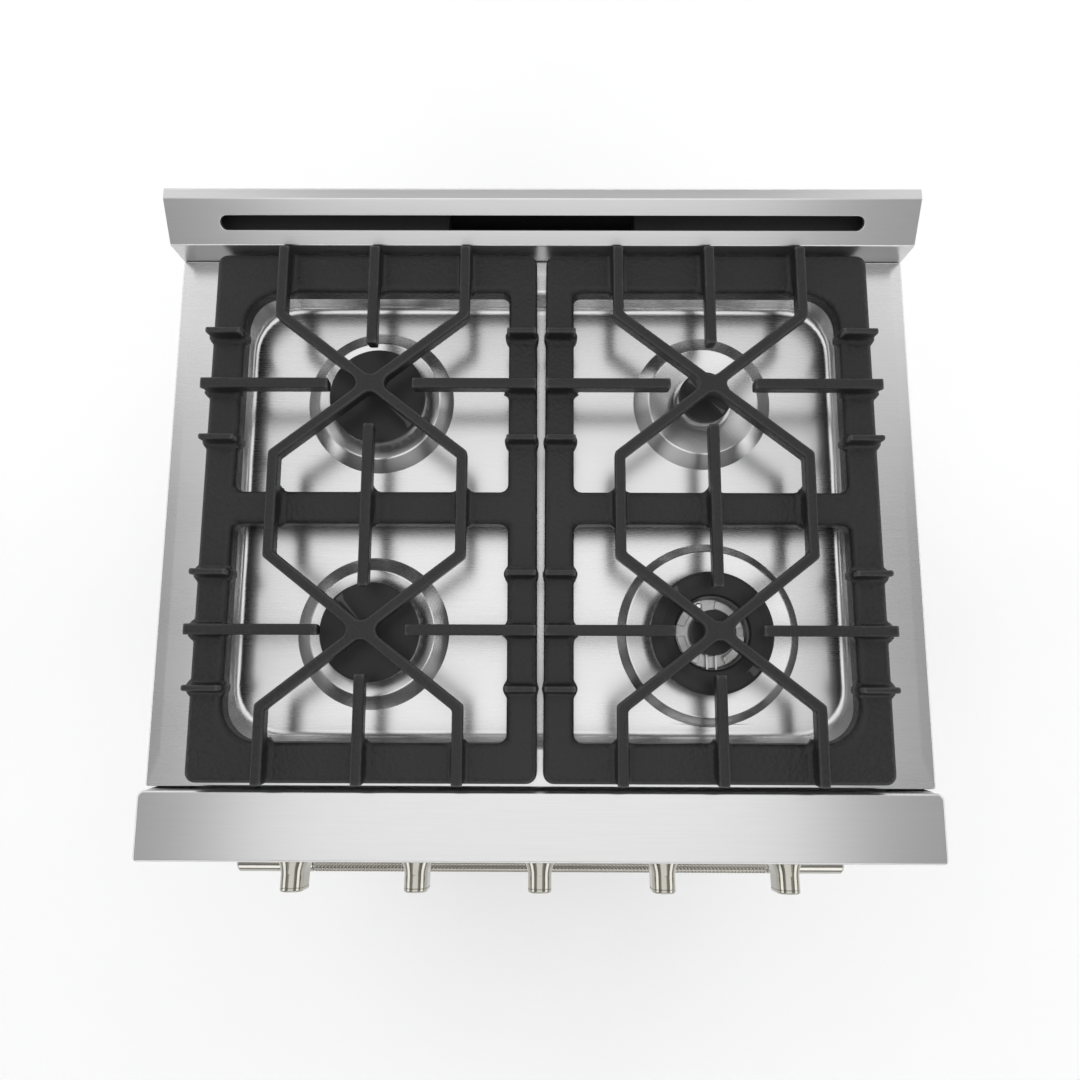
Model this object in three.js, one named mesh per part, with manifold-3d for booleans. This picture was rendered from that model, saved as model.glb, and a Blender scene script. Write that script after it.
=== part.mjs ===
// Freestanding gas range, 30 inch class: sealed-burner cooktop over an oven with a drop-down door.
// Millimetres, +Z up, front towards -Y. Origin on the floor, under the middle of the whole range.
import * as THREE from 'three';
import { mergeVertices } from 'three/addons/utils/BufferGeometryUtils.js';
import Module from 'manifold-3d';

const wasm = await Module();
wasm.setup();

// ---------------------------------------------------------------- driving dimensions
const rangeWidth = 757;
const rangeDepth = 693.6;
const cooktopDepth = 538;
const guardDepth = 49.2;
const rimZ = 871;
const gap = 0.3;
const sheet = 2;

// Height levels, from the floor up.
const bodyBottomZ = 112;
const kickBottomZ = 60;
const doorBottomZ = 186;
const doorTopZ = 750;
const panelBottomZ = 757;
const ledgeBottomZ = 862;
const ledgeTopZ = 881.6;

// Depth stations. Everything on the cooktop is placed by its distance behind the cooktop's front edge.
const backY = rangeDepth / 2;
const guardFrontY = backY - guardDepth;
const frontY = guardFrontY - cooktopDepth;
const halfWidth = rangeWidth / 2;
const sideSheet = 3;
const sideInnerX = halfWidth - sideSheet;

// Cooktop tray.
const skirtHeight = 25;
const recessDepth = 22;
const recess = { x: 296, front: 55.5, rear: 484, corner: 40, wallRun: 13 };

// Burners: cap radius, cap top above the rim, pressed ring in the tray, and burner head sizes.
const burnerX = 168.2;
const frontBurner = 148;
const rearBurner = 389.2;
const capThickness = 6;
const ringRise = 7;
const seatDrop = 4;
const largeBurner = { cap: 49.25, capTop: 3, ringTop: 62, ringFoot: 76.2, neck: 27 };
const smallBurner = { cap: 27, capTop: 1, ringTop: 56, ringFoot: 71.5, neck: 18 };
const dualBurner = {
  cap: 60.5, capHole: 36, capTop: 6, ringTop: 82.5, ringFoot: 91.3, neck: 27,
  centreCap: 22.25, centreTop: 11,
};

// Grates, measured above the rim and from the middle of the range.
const grate = {
  innerX: 4.7, outerX: 332.2, front: 6, rear: 532.6,
  innerBar: 28.3, outerBar: 31.5, frontBar: 37.4, rearBar: 40.6, crossFront: 252, crossRear: 284,
  top: 43, frameTop: 26, frameBottom: 5, wall: 4, channelTop: 21, finger: 10.5, fingerBottom: 25,
};
const grateBend = { x: 91.4, reach: 71.5 };
const fingerTip = 41;
const tab = { length: 28, width: 5.5, offset: 54.5 };

// Controls.
const knobXs = [-240, -120, 0, 120, 240];
const knobZ = 831;
const panelFaceAtKnob = -56;
const panelTilt = THREE.MathUtils.degToRad(6);
const knob = { rearGap: 3.6, tip: 46, baseRadius: 24, gripWidth: 22.5, gripHeight: 42, bore: 4.4 };
const stem = { radius: 4, inner: -24, outer: 20 };
const valve = { radius: 16, back: -48, front: -6 };

// Door, hinged at its bottom edge in the middle of its thickness.
const door = { halfWidth: 374, outer: -45, inner: -5, panDepth: 27 };
const hingeAxis = { y: frontY - 25, z: doorBottomZ + 12 };
const doorWindow = { x: 230, bottom: 330, top: 600 };
const handle = { z: 731, front: -106.4, radius: 12.7, halfLength: 330, postX: 285, postRadius: 9 };

// Oven.
const oven = { x: 300, rear: 535, bottom: 240, top: 690 };
const rackLevels = { lower: 300, upper: 450 };
const guideZs = [300, 375, 450, 525];
const flue = { x: 98, front: 541, rear: 583, bottom: 600, top: 892 };

// ---------------------------------------------------------------- materials
const stainless = { color: 0xc4c4c2, roughness: 0.35, metalness: 1 };
const polished = { color: 0xb9b4aa, roughness: 0.15, metalness: 1 };
const castIron = { color: 0x222222, roughness: 0.75, metalness: 0.2 };
const aluminium = { color: 0xb5b5b5, roughness: 0.45, metalness: 1 };
const enamel = { color: 0x1b1d26, roughness: 0.3, metalness: 0 };
const galvanised = { color: 0x8d9093, roughness: 0.5, metalness: 1 };
const darkSteel = { color: 0x303030, roughness: 0.6, metalness: 0.8 };
const brass = { color: 0xb08d45, roughness: 0.35, metalness: 1 };
const ceramic = { color: 0xe6e2d8, roughness: 0.4, metalness: 0 };
const glass = { color: 0x20262a, roughness: 0.05, metalness: 0, transparent: true, opacity: 0.5 };
const braid = { color: 0x4a4a4a, roughness: 0.95, metalness: 0 };

// ---------------------------------------------------------------- solid helpers
function orientedTriangles(positions, index) {
  const kept = [];
  let volume = 0;
  const corner = (i) => new THREE.Vector3().fromArray(positions, 3 * i);
  for (let i = 0; i < index.length; i += 3) {
    const [a, b, c] = [index[i], index[i + 1], index[i + 2]];
    if (a === b || b === c || c === a) continue;
    kept.push([a, b, c]);
    volume += corner(a).dot(corner(b).cross(corner(c)));
  }
  return kept.flatMap(([a, b, c]) => (volume < 0 ? [a, c, b] : [a, b, c]));
}

// Turns any closed three.js geometry into a solid for joining and cutting.
function solid(geometry) {
  geometry.deleteAttribute('normal');
  geometry.deleteAttribute('uv');
  const merged = mergeVertices(geometry, 1e-3);
  const positions = merged.attributes.position.array;
  return new wasm.Manifold(new wasm.Mesh({
    numProp: 3,
    vertProperties: new Float32Array(positions),
    triVerts: new Uint32Array(orientedTriangles(positions, merged.index.array)),
  }));
}

function geometryOf(body) {
  const mesh = body.getMesh();
  const geometry = new THREE.BufferGeometry();
  geometry.setAttribute('position', new THREE.BufferAttribute(Float32Array.from(mesh.vertProperties), 3));
  geometry.setIndex(new THREE.BufferAttribute(Uint32Array.from(mesh.triVerts), 1));
  geometry.computeVertexNormals();
  return geometry;
}

function box([x0, x1], [y0, y1], [z0, z1]) {
  const geometry = new THREE.BoxGeometry(x1 - x0, y1 - y0, z1 - z0);
  return solid(geometry.translate((x0 + x1) / 2, (y0 + y1) / 2, (z0 + z1) / 2));
}

// Revolves a closed (radius, height) profile about the vertical axis through x, y.
function turned(profile, segments, x = 0, y = 0) {
  const points = [...profile, profile[0]].map(([r, z]) => new THREE.Vector2(r, z));
  const geometry = new THREE.LatheGeometry(points, segments);
  return solid(geometry.rotateX(Math.PI / 2).translate(x, y, 0));
}

function cylinder(radius, z0, z1, segments, x = 0, y = 0) {
  return turned([[0, z0], [radius, z0], [radius, z1], [0, z1]], segments, x, y);
}

// A round bar from one point to another.
function rod(from, to, radius, segments) {
  const start = new THREE.Vector3(...from);
  const span = new THREE.Vector3(...to).sub(start);
  const geometry = new THREE.CylinderGeometry(radius, radius, span.length(), segments);
  geometry.translate(0, span.length() / 2, 0);
  geometry.applyQuaternion(
    new THREE.Quaternion().setFromUnitVectors(new THREE.Vector3(0, 1, 0), span.clone().normalize()),
  );
  return solid(geometry.translate(start.x, start.y, start.z));
}

// A flat (x, y) outline pulled up from z0 to z1.
function prismZ(outline, z0, z1) {
  const shape = new THREE.Shape(outline.map(([x, y]) => new THREE.Vector2(x, y)));
  const geometry = new THREE.ExtrudeGeometry(shape, { depth: z1 - z0, bevelEnabled: false });
  return solid(geometry.translate(0, 0, z0));
}

// A (y, z) outline pulled along X.
function prismX(outline, x0, x1) {
  const shape = new THREE.Shape(outline.map(([y, z]) => new THREE.Vector2(y, z)));
  const geometry = new THREE.ExtrudeGeometry(shape, { depth: x1 - x0, bevelEnabled: false });
  const toYZ = new THREE.Matrix4().makeBasis(
    new THREE.Vector3(0, 1, 0), new THREE.Vector3(0, 0, 1), new THREE.Vector3(1, 0, 0),
  );
  return solid(geometry.applyMatrix4(toYZ).translate(x0, 0, 0));
}

// Rounded rectangle; radii go round from the low-x low-y corner, counter-clockwise.
function roundedRect([x0, x1], [y0, y1], radii, steps = 5) {
  const corners = [
    [x0, y0, 1, 1, Math.PI], [x1, y0, -1, 1, 1.5 * Math.PI],
    [x1, y1, -1, -1, 0], [x0, y1, 1, -1, 0.5 * Math.PI],
  ];
  return corners.flatMap(([x, y, sx, sy, start], i) => {
    const r = radii[i];
    return Array.from({ length: steps }, (_, k) => {
      const angle = start + (k / (steps - 1)) * (Math.PI / 2);
      return [x + sx * r + r * Math.cos(angle), y + sy * r + r * Math.sin(angle)];
    });
  });
}

// Straight-sided solid between two convex outlines of the same point count.
function loft(lower, upper, z0, z1) {
  const count = lower.length;
  const middle = (ring) => ring.reduce(([a, b], [x, y]) => [a + x / count, b + y / count], [0, 0]);
  const positions = [
    ...lower.map(([x, y]) => [x, y, z0]),
    ...upper.map(([x, y]) => [x, y, z1]),
    [...middle(lower), z0],
    [...middle(upper), z1],
  ].flat();
  const index = [];
  for (let i = 0; i < count; i += 1) {
    const next = (i + 1) % count;
    index.push(i, next, count + next, i, count + next, count + i);
    index.push(2 * count, next, i, 2 * count + 1, count + i, count + next);
  }
  const geometry = new THREE.BufferGeometry();
  geometry.setAttribute('position', new THREE.Float32BufferAttribute(positions, 3));
  geometry.setIndex(index);
  return solid(geometry);
}

const join = (parts) => parts.reduce((whole, next) => whole.add(next));
const cut = (whole, tools) => tools.reduce((rest, tool) => rest.subtract(tool), whole);

// ---------------------------------------------------------------- scene graph
const range = new THREE.Group();

function addPart(name, body, finish, parent = range) {
  const mesh = new THREE.Mesh(geometryOf(body), new THREE.MeshStandardMaterial(finish));
  mesh.name = name;
  parent.add(mesh);
  return mesh;
}

// ---------------------------------------------------------------- casing
function makeCasing() {
  const rearSheetY = backY - sideSheet;
  const sideBody = box(
    [sideInnerX, halfWidth], [frontY, rearSheetY - gap], [bodyBottomZ, rimZ - skirtHeight - gap],
  );
  addPart('side_panel_right', sideBody, stainless);
  const leftBody = box(
    [-halfWidth, -sideInnerX], [frontY, rearSheetY - gap], [bodyBottomZ, rimZ - skirtHeight - gap],
  );
  addPart('side_panel_left', leftBody, stainless);

  const inletX = 340;
  const inletZ = knobZ - 5;
  const rearPanel = cut(
    box([-halfWidth, halfWidth], [rearSheetY, backY], [bodyBottomZ, rimZ - skirtHeight - gap]),
    [rod([inletX, rearSheetY - 1, inletZ], [inletX, backY + 1, inletZ], 16, 12)],
  );
  addPart('rear_panel', rearPanel, galvanised);

  const panX = sideInnerX - gap;
  const panRear = rearSheetY - gap;
  const panWall = 14;
  const basePan = cut(
    box([-panX, panX], [frontY + 8, panRear], [bodyBottomZ, bodyBottomZ + panWall]),
    [box([-panX + sheet, panX - sheet], [frontY + 8 + sheet, panRear - sheet],
      [bodyBottomZ + sheet, bodyBottomZ + panWall + 1])],
  );
  addPart('base_pan', basePan, galvanised);

  const kickFront = frontY + 3;
  const kickReturn = 20;
  const kickX = sideInnerX - gap;
  const kickPlate = join([
    box([-kickX, kickX], [kickFront, kickFront + sheet], [kickBottomZ, doorBottomZ + 3]),
    box([-kickX, kickX], [kickFront, kickFront + kickReturn], [kickBottomZ, kickBottomZ + sheet]),
  ]);
  addPart('kick_plate', kickPlate, stainless);
}

function makeLegs() {
  const legTop = bodyBottomZ - gap;
  const profile = [
    [0, 0], [23, 0], [25, 3], [25, 9], [21, 14], [12, 16], [12, 40], [19, 42], [19, legTop], [0, legTop],
  ];
  const body = turned(profile, 16);
  const places = {
    leg_front_left: [-335, frontY + 62], leg_front_right: [335, frontY + 62],
    leg_rear_left: [-335, backY - 45], leg_rear_right: [335, backY - 45],
  };
  for (const [name, [x, y]] of Object.entries(places)) {
    addPart(name, body, stainless).position.set(x, y, 0);
  }
}

// ---------------------------------------------------------------- cooktop
function burnerSites() {
  const y = (distance) => frontY + distance;
  return [
    { name: 'front_left', x: -burnerX, y: y(frontBurner), size: largeBurner },
    { name: 'rear_left', x: -burnerX, y: y(rearBurner), size: largeBurner },
    { name: 'rear_right', x: burnerX, y: y(rearBurner), size: smallBurner },
    { name: 'front_right', x: burnerX, y: y(frontBurner), size: dualBurner },
  ];
}

// The dual burner's igniter stands in the gap between its caps, the others just inside the cap's edge.
function igniterPlace({ x, y, size }) {
  const radius = size.centreCap ? 29.5 : size.cap - 8;
  const angle = THREE.MathUtils.degToRad(size.centreCap ? -60 : 0);
  return [x + radius * Math.cos(angle), y + radius * Math.sin(angle)];
}

function makeCooktop() {
  const floorZ = rimZ - recessDepth;
  const { x, front, rear, corner, wallRun } = recess;
  const pocket = (grow, z0, z1) => {
    const outlineAt = (z) => {
      const out = grow + ((z - floorZ) / recessDepth) * wallRun;
      return roundedRect(
        [-x - out, x + out], [frontY + front - out, frontY + rear + out], Array(4).fill(corner + out), 6,
      );
    };
    return loft(outlineAt(z0), outlineAt(z1), z0, z1);
  };
  const block = box([-halfWidth, halfWidth], [frontY, guardFrontY - gap], [rimZ - skirtHeight, rimZ]);
  const under = box(
    [-halfWidth + sheet, halfWidth - sheet], [frontY + sheet, guardFrontY - gap - sheet],
    [rimZ - skirtHeight - 1, rimZ - sheet],
  ).subtract(pocket(sheet, floorZ - sheet, rimZ));
  let tray = cut(block, [pocket(0, floorZ, rimZ + 1), under]);
  const seatZ = floorZ + seatDrop;
  const topZ = floorZ + ringRise;
  for (const { x: cx, y: cy, size } of burnerSites()) {
    const ring = turned([
      [size.neck + 1, floorZ - sheet], [size.ringFoot - 1, floorZ - sheet], [size.ringFoot, floorZ],
      [size.ringTop + 4, topZ], [size.ringTop, topZ], [size.ringTop - 5, seatZ],
      [size.neck + 1, seatZ],
    ], 28, cx, cy);
    const hole = cylinder(size.neck + 3, floorZ - 5, topZ + 1, 20, cx, cy);
    tray = tray.add(ring).subtract(hole);
  }
  for (const site of burnerSites()) {
    tray = tray.subtract(cylinder(5, floorZ - 5, topZ + 1, 10, ...igniterPlace(site)));
  }
  addPart('cooktop_tray', tray, stainless);
}

function makeBurners() {
  const floorZ = rimZ - recessDepth;
  const seatZ = floorZ + seatDrop + gap;
  const neckBottomZ = floorZ - 28;
  for (const site of burnerSites()) {
    const { name, x, y, size } = site;
    const capZ = rimZ + size.capTop - capThickness;
    const headTop = capZ - gap;
    const rim = size.cap - 4;
    const throat = size.neck - 9;
    const isDual = Boolean(size.centreCap);
    const centreHeadTop = rimZ + dualBurner.centreTop - capThickness - gap;
    const single = [
      [throat, neckBottomZ], [size.neck, neckBottomZ], [size.neck, seatZ], [rim + 1, seatZ],
      [rim, seatZ + 4], [rim, headTop], [throat, headTop],
    ];
    const dual = [
      [8, neckBottomZ], [size.neck, neckBottomZ], [size.neck, seatZ], [rim + 5, seatZ],
      [rim, seatZ + 5], [rim, headTop], [size.capHole + 3, headTop], [size.capHole + 1, seatZ + 6],
      [size.centreCap + 1, seatZ + 6], [size.centreCap - 3, seatZ + 12],
      [size.centreCap - 3, centreHeadTop], [8, centreHeadTop],
    ];
    const notch = cylinder(5, neckBottomZ - 1, centreHeadTop + 1, 10, ...igniterPlace(site));
    const head = turned(isDual ? dual : single, 24, x, y).subtract(notch);
    addPart(`burner_head_${name}`, head, aluminium);

    const capTop = rimZ + size.capTop;
    if (isDual) {
      const ring = turned([
        [size.capHole, capZ], [size.cap, capZ], [size.cap, capTop - 2],
        [size.cap - 2, capTop], [size.capHole + 2, capTop], [size.capHole, capTop - 2],
      ], 24, x, y);
      addPart('burner_cap_front_right_ring', ring, castIron);
      const centreTop = rimZ + size.centreTop;
      const centre = turned([
        [0, centreTop - capThickness], [size.centreCap, centreTop - capThickness],
        [size.centreCap, centreTop - 2], [size.centreCap - 3, centreTop], [0, centreTop],
      ], 20, x, y);
      addPart('burner_cap_front_right_centre', centre, castIron);
    } else {
      const cap = turned([
        [0, capZ], [size.cap, capZ], [size.cap, capTop - 2], [size.cap - 3, capTop], [0, capTop],
      ], 24, x, y);
      addPart(`burner_cap_${name}`, cap, castIron);
    }
    const igniterTop = capZ - 2;
    addPart(`igniter_${name}`, cylinder(3, neckBottomZ, igniterTop, 8, ...igniterPlace(site)), ceramic);
  }
}

// ---------------------------------------------------------------- grates
// One bar of the cooking surface, following a bent centre line of (x, y) points.
function bar(points) {
  const half = grate.finger / 2;
  const pieces = [];
  for (let i = 1; i < points.length; i += 1) {
    const [ax, ay] = points[i - 1];
    const [bx, by] = points[i];
    const length = Math.hypot(bx - ax, by - ay);
    const nx = (-(by - ay) / length) * half;
    const ny = ((bx - ax) / length) * half;
    pieces.push(prismZ(
      [[ax + nx, ay + ny], [ax - nx, ay - ny], [bx - nx, by - ny], [bx + nx, by + ny]],
      rimZ + grate.fingerBottom, rimZ + grate.top,
    ));
  }
  for (const [x, y] of points.slice(1, -1)) {
    pieces.push(cylinder(half, rimZ + grate.fingerBottom, rimZ + grate.top, 12, x, y));
  }
  return join(pieces);
}

function makeGrate(name, side) {
  const y = (distance) => frontY + distance;
  const span = (a, b) => [Math.min(side * a, side * b), Math.max(side * a, side * b)];
  const outer = (inset) => roundedRect(
    span(grate.innerX + inset, grate.outerX - inset),
    [y(grate.front) + inset, y(grate.rear) - inset], Array(4).fill(9 - inset / 2), 3,
  );
  const windowRadius = 8;
  const cornerRadius = 35;
  const windowOf = (grow, front, rear, atFront) => {
    const big = cornerRadius - grow;
    const small = windowRadius - grow / 2;
    const outerLow = side < 0;
    const radii = [small, small, small, small];
    const bigIndex = atFront ? (outerLow ? 0 : 1) : (outerLow ? 3 : 2);
    radii[bigIndex] = big;
    return roundedRect(
      span(grate.innerX + grate.innerBar - grow, grate.outerX - grate.outerBar + grow),
      [y(front) - grow, y(rear) + grow], radii, 4,
    );
  };
  const frontWindow = [grate.front + grate.frontBar, grate.crossFront, true];
  const rearWindow = [grate.crossRear, grate.rear - grate.rearBar, false];
  const frameOf = (inset, z0, z1) => cut(prismZ(outer(inset), z0, z1), [
    prismZ(windowOf(inset, ...frontWindow), z0 - 1, z1 + 1),
    prismZ(windowOf(inset, ...rearWindow), z0 - 1, z1 + 1),
  ]);
  const frame = frameOf(0, rimZ + grate.frameBottom, rimZ + grate.frameTop).subtract(
    frameOf(grate.wall, rimZ + grate.frameBottom - 1, rimZ + grate.channelTop),
  );

  const cx = side * burnerX;
  const end = grate.finger / 2;
  const rearEnd = y(grate.rear) - 2;
  const frontEnd = y(grate.front) + 2;
  const parts = [frame];
  for (const way of [-1, 1]) {
    const near = cx + way * grateBend.x;
    const far = cx - way * grateBend.x;
    parts.push(bar([
      [near, rearEnd], [near, y(rearBurner + grateBend.reach)], [far, y(rearBurner - grateBend.reach)],
      [far, y(frontBurner + grateBend.reach)], [near, y(frontBurner - grateBend.reach)], [near, frontEnd],
    ]));
  }
  parts.push(bar([[cx, rearEnd], [cx, y(rearBurner + fingerTip)]]));
  parts.push(bar([[cx, y(rearBurner - fingerTip)], [cx, y(frontBurner + fingerTip)]]));
  parts.push(bar([[cx, y(frontBurner - fingerTip)], [cx, frontEnd]]));
  for (const burner of [frontBurner, rearBurner]) {
    parts.push(bar([[side * grate.innerX, y(burner)], [cx - side * fingerTip, y(burner)]]));
    parts.push(bar([[cx + side * fingerTip, y(burner)], [side * grate.outerX, y(burner)]]));
    for (const way of [-1, 1]) {
      const tabY = y(burner + way * tab.offset);
      const depth = [tabY - tab.width / 2, tabY + tab.width / 2];
      const height = [rimZ + grate.fingerBottom, rimZ + grate.top];
      parts.push(box(span(grate.innerX, grate.innerX + tab.length), depth, height));
      parts.push(box(span(grate.outerX - tab.length, grate.outerX), depth, height));
    }
  }
  const footInset = 14;
  const footHalf = end + 5;
  const footHeight = [rimZ + gap, rimZ + grate.channelTop + 1];
  const footRows = [
    grate.front + footInset, (grate.crossFront + grate.crossRear) / 2, grate.rear - footInset,
  ];
  for (const x of [grate.innerX + footInset, grate.outerX - footInset]) {
    for (const row of footRows) {
      parts.push(box(span(x - footHalf, x + footHalf), [y(row) - end, y(row) + end], footHeight));
    }
  }
  addPart(name, join(parts), castIron);
}

// ---------------------------------------------------------------- back guard and flue
function makeBackGuard() {
  const shoulderZ = rimZ + 33;
  const topZ = rimZ + 57.2;
  const slopeRun = 37.3;
  const bottomZ = rimZ - skirtHeight;
  const profile = (inset) => [
    [guardFrontY + inset, bottomZ - (inset ? 1 : 0)], [guardFrontY + inset, shoulderZ - inset * 0.6],
    [guardFrontY + slopeRun + inset * 0.4, topZ - inset], [backY - inset, topZ - inset],
    [backY - inset, bottomZ - (inset ? 1 : 0)],
  ];
  const shell = prismX(profile(0), -halfWidth, halfWidth)
    .subtract(prismX(profile(sheet), -halfWidth + sheet, halfWidth - sheet));

  const slope = new THREE.Vector2(slopeRun, topZ - shoulderZ);
  const along = slope.clone().normalize();
  const slotStart = 14.6;
  const slotHeight = 14;
  const slotX = 324.5;
  const slotShape = new THREE.Shape(
    roundedRect([-slotX, slotX], [slotStart, slotStart + slotHeight], Array(4).fill(6.99), 5)
      .map(([px, py]) => new THREE.Vector2(px, py)),
  );
  const slot = new THREE.ExtrudeGeometry(slotShape, { depth: 16, bevelEnabled: false });
  slot.translate(0, 0, -8);
  slot.rotateX(Math.atan2(along.y, along.x));
  slot.translate(0, guardFrontY, shoulderZ);
  addPart('back_guard', shell.subtract(solid(slot)), stainless);
}

function makeFlue() {
  const y = (distance) => frontY + distance;
  const duct = join([
    box([-flue.x, flue.x], [y(flue.front), y(flue.rear)], [flue.bottom, flue.top]),
    box([-340, 340], [y(flue.front), y(flue.rear)], [flue.top - sheet, flue.top]),
  ]);
  const inside = box(
    [-flue.x + sheet, flue.x - sheet], [y(flue.front) + sheet, y(flue.rear) - sheet],
    [flue.bottom + sheet, flue.top + 1],
  );
  const inlet = box([-70, 70], [y(flue.front) - 1, y(flue.front) + sheet + 1], [620, 665]);
  addPart('flue_duct', cut(duct, [inside, inlet]), darkSteel);
}

// ---------------------------------------------------------------- ledge and control panel
function panelFaceY(z) {
  return frontY + panelFaceAtKnob + (z - knobZ) * Math.tan(panelTilt);
}

function makeLedge() {
  const ledgeX = 381;
  const ledgeFront = frontY - 67;
  const ledgeRear = frontY - 2.5;
  const lip = 11;
  const outer = box([-ledgeX, ledgeX], [ledgeFront, ledgeRear], [ledgeBottomZ, ledgeTopZ]);
  const inner = box(
    [-ledgeX + sheet, ledgeX - sheet], [ledgeFront + sheet, ledgeRear - sheet],
    [ledgeBottomZ + sheet, ledgeTopZ - sheet],
  );
  const mouth = box(
    [-ledgeX + sheet, ledgeX - sheet], [ledgeFront + lip, ledgeRear - sheet],
    [ledgeBottomZ - 1, ledgeBottomZ + sheet + 1],
  );
  addPart('front_ledge', cut(outer, [inner, mouth]), stainless);
}

function makeControlPanel() {
  const topZ = ledgeBottomZ - gap;
  const rearY = frontY - 3;
  const outline = (inset) => [
    [panelFaceY(topZ) + inset, topZ - inset], [panelFaceY(panelBottomZ) + inset, panelBottomZ + inset],
    [rearY + (inset ? 1 : 0), panelBottomZ + inset], [rearY + (inset ? 1 : 0), topZ - inset],
  ];
  const holes = knobXs.map((x) => rod(
    [x, panelFaceY(knobZ) - 10 * Math.cos(panelTilt), knobZ + 10 * Math.sin(panelTilt)],
    [x, panelFaceY(knobZ) + 10 * Math.cos(panelTilt), knobZ - 10 * Math.sin(panelTilt)], 8, 12,
  ));
  const shell = prismX(outline(0), -halfWidth, halfWidth)
    .subtract(prismX(outline(sheet), -halfWidth + sheet, halfWidth - sheet));
  addPart('control_panel', cut(shell, holes), stainless);
}

function knobBody() {
  const { rearGap, tip, baseRadius, gripWidth, gripHeight, bore } = knob;
  const skirt = turned([
    [0, rearGap], [baseRadius, rearGap], [baseRadius, rearGap + 7], [17, rearGap + 11],
    [13, rearGap + 16], [0, rearGap + 16],
  ], 20);
  const halfGrip = gripWidth / 2;
  const grip = new THREE.Shape([
    [-gripHeight / 2 + 4, rearGap + 2], [gripHeight / 2 - 4, rearGap + 2], [gripHeight / 2, tip - 6],
    [gripHeight / 2 - 6, tip], [-gripHeight / 2 + 6, tip], [-gripHeight / 2, tip - 6],
  ].map(([height, out]) => new THREE.Vector2(height, out)));
  const gripGeometry = new THREE.ExtrudeGeometry(grip, { depth: gripWidth, bevelEnabled: false });
  const toUpright = new THREE.Matrix4().makeBasis(
    new THREE.Vector3(0, 1, 0), new THREE.Vector3(0, 0, 1), new THREE.Vector3(1, 0, 0),
  );
  gripGeometry.applyMatrix4(toUpright).translate(-halfGrip, 0, 0);
  return skirt.add(solid(gripGeometry)).subtract(cylinder(bore, rearGap - 1, stem.outer + 4, 10));
}

// Each control stands on the tilted panel face: its own Z runs out of the panel, its Y up the panel.
function makeControls() {
  const knobSolid = knobBody();
  const stemSolid = cylinder(stem.radius, stem.inner, stem.outer, 10);
  const valveSolid = turned([
    [0, valve.back], [valve.radius, valve.back], [valve.radius, valve.front - 12], [10, valve.front - 8],
    [10, valve.front], [stem.radius + 0.4, valve.front], [stem.radius + 0.4, stem.inner - 1],
    [0, stem.inner - 1],
  ], 12);
  knobXs.forEach((x, i) => {
    const control = new THREE.Group();
    control.position.set(x, panelFaceY(knobZ), knobZ);
    control.rotation.x = Math.PI / 2 - panelTilt;
    range.add(control);
    addPart(`knob_${i + 1}`, knobSolid, polished, control);
    addPart(`valve_stem_${i + 1}`, stemSolid, brass, control);
    addPart(`gas_valve_${i + 1}`, valveSolid, aluminium, control);
  });
}

function makeManifold() {
  const pipe = 11;
  const pipeY = frontY + 8;
  const pipeZ = knobZ - 5;
  const inletX = 340;
  const manifold = join([
    rod([-300, pipeY, pipeZ], [inletX, pipeY, pipeZ], pipe, 12),
    rod([inletX, pipeY, pipeZ], [inletX, backY - 1, pipeZ], pipe, 12),
    rod([inletX, pipeY - pipe, pipeZ], [inletX, pipeY + pipe, pipeZ], pipe + 3, 12),
  ]);
  addPart('gas_manifold', manifold, darkSteel);
}

// ---------------------------------------------------------------- oven
function makeOven() {
  const y = (distance) => frontY + distance;
  const flangeX = sideInnerX - gap;
  const flangeTop = panelBottomZ - 5;
  const flangeBottom = doorBottomZ + 4;
  const wall = 2;
  const shell = join([
    box([-oven.x - wall, oven.x + wall], [y(0), y(oven.rear) + wall], [oven.bottom - wall, oven.top + wall]),
    box([-flangeX, flangeX], [y(0), y(wall)], [flangeBottom, flangeTop]),
  ]);
  const cavity = box([-oven.x, oven.x], [y(-1), y(oven.rear)], [oven.bottom, oven.top]);
  const flueHole = box([-68, 68], [y(oven.rear) - 1, y(oven.rear) + wall + 1], [622, 663]);
  const guides = guideZs.flatMap((z) => [-1, 1].map((side) => {
    const [a, b] = [side * (oven.x - 12), side * (oven.x + 1)];
    return box([Math.min(a, b), Math.max(a, b)], [y(25), y(500)], [z - 6, z]);
  }));
  addPart('oven_liner', join([cut(shell, [cavity, flueHole]), ...guides]), enamel);

  const broil = cut(
    box([-170, 170], [y(120), y(400)], [655, oven.top - gap]),
    [box([-160, 160], [y(130), y(390)], [654, 662])],
  );
  addPart('broil_burner', broil, darkSteel);
  const bake = join([
    rod([0, y(30), 190], [0, y(480), 190], 14, 12),
    rod([-150, y(255), 190], [150, y(255), 190], 10, 12),
  ]);
  addPart('bake_burner', bake, darkSteel);

  for (const [level, z] of Object.entries(rackLevels)) {
    addPart(`oven_rack_${level}`, rackBody(z + gap), polished);
  }
}

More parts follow.
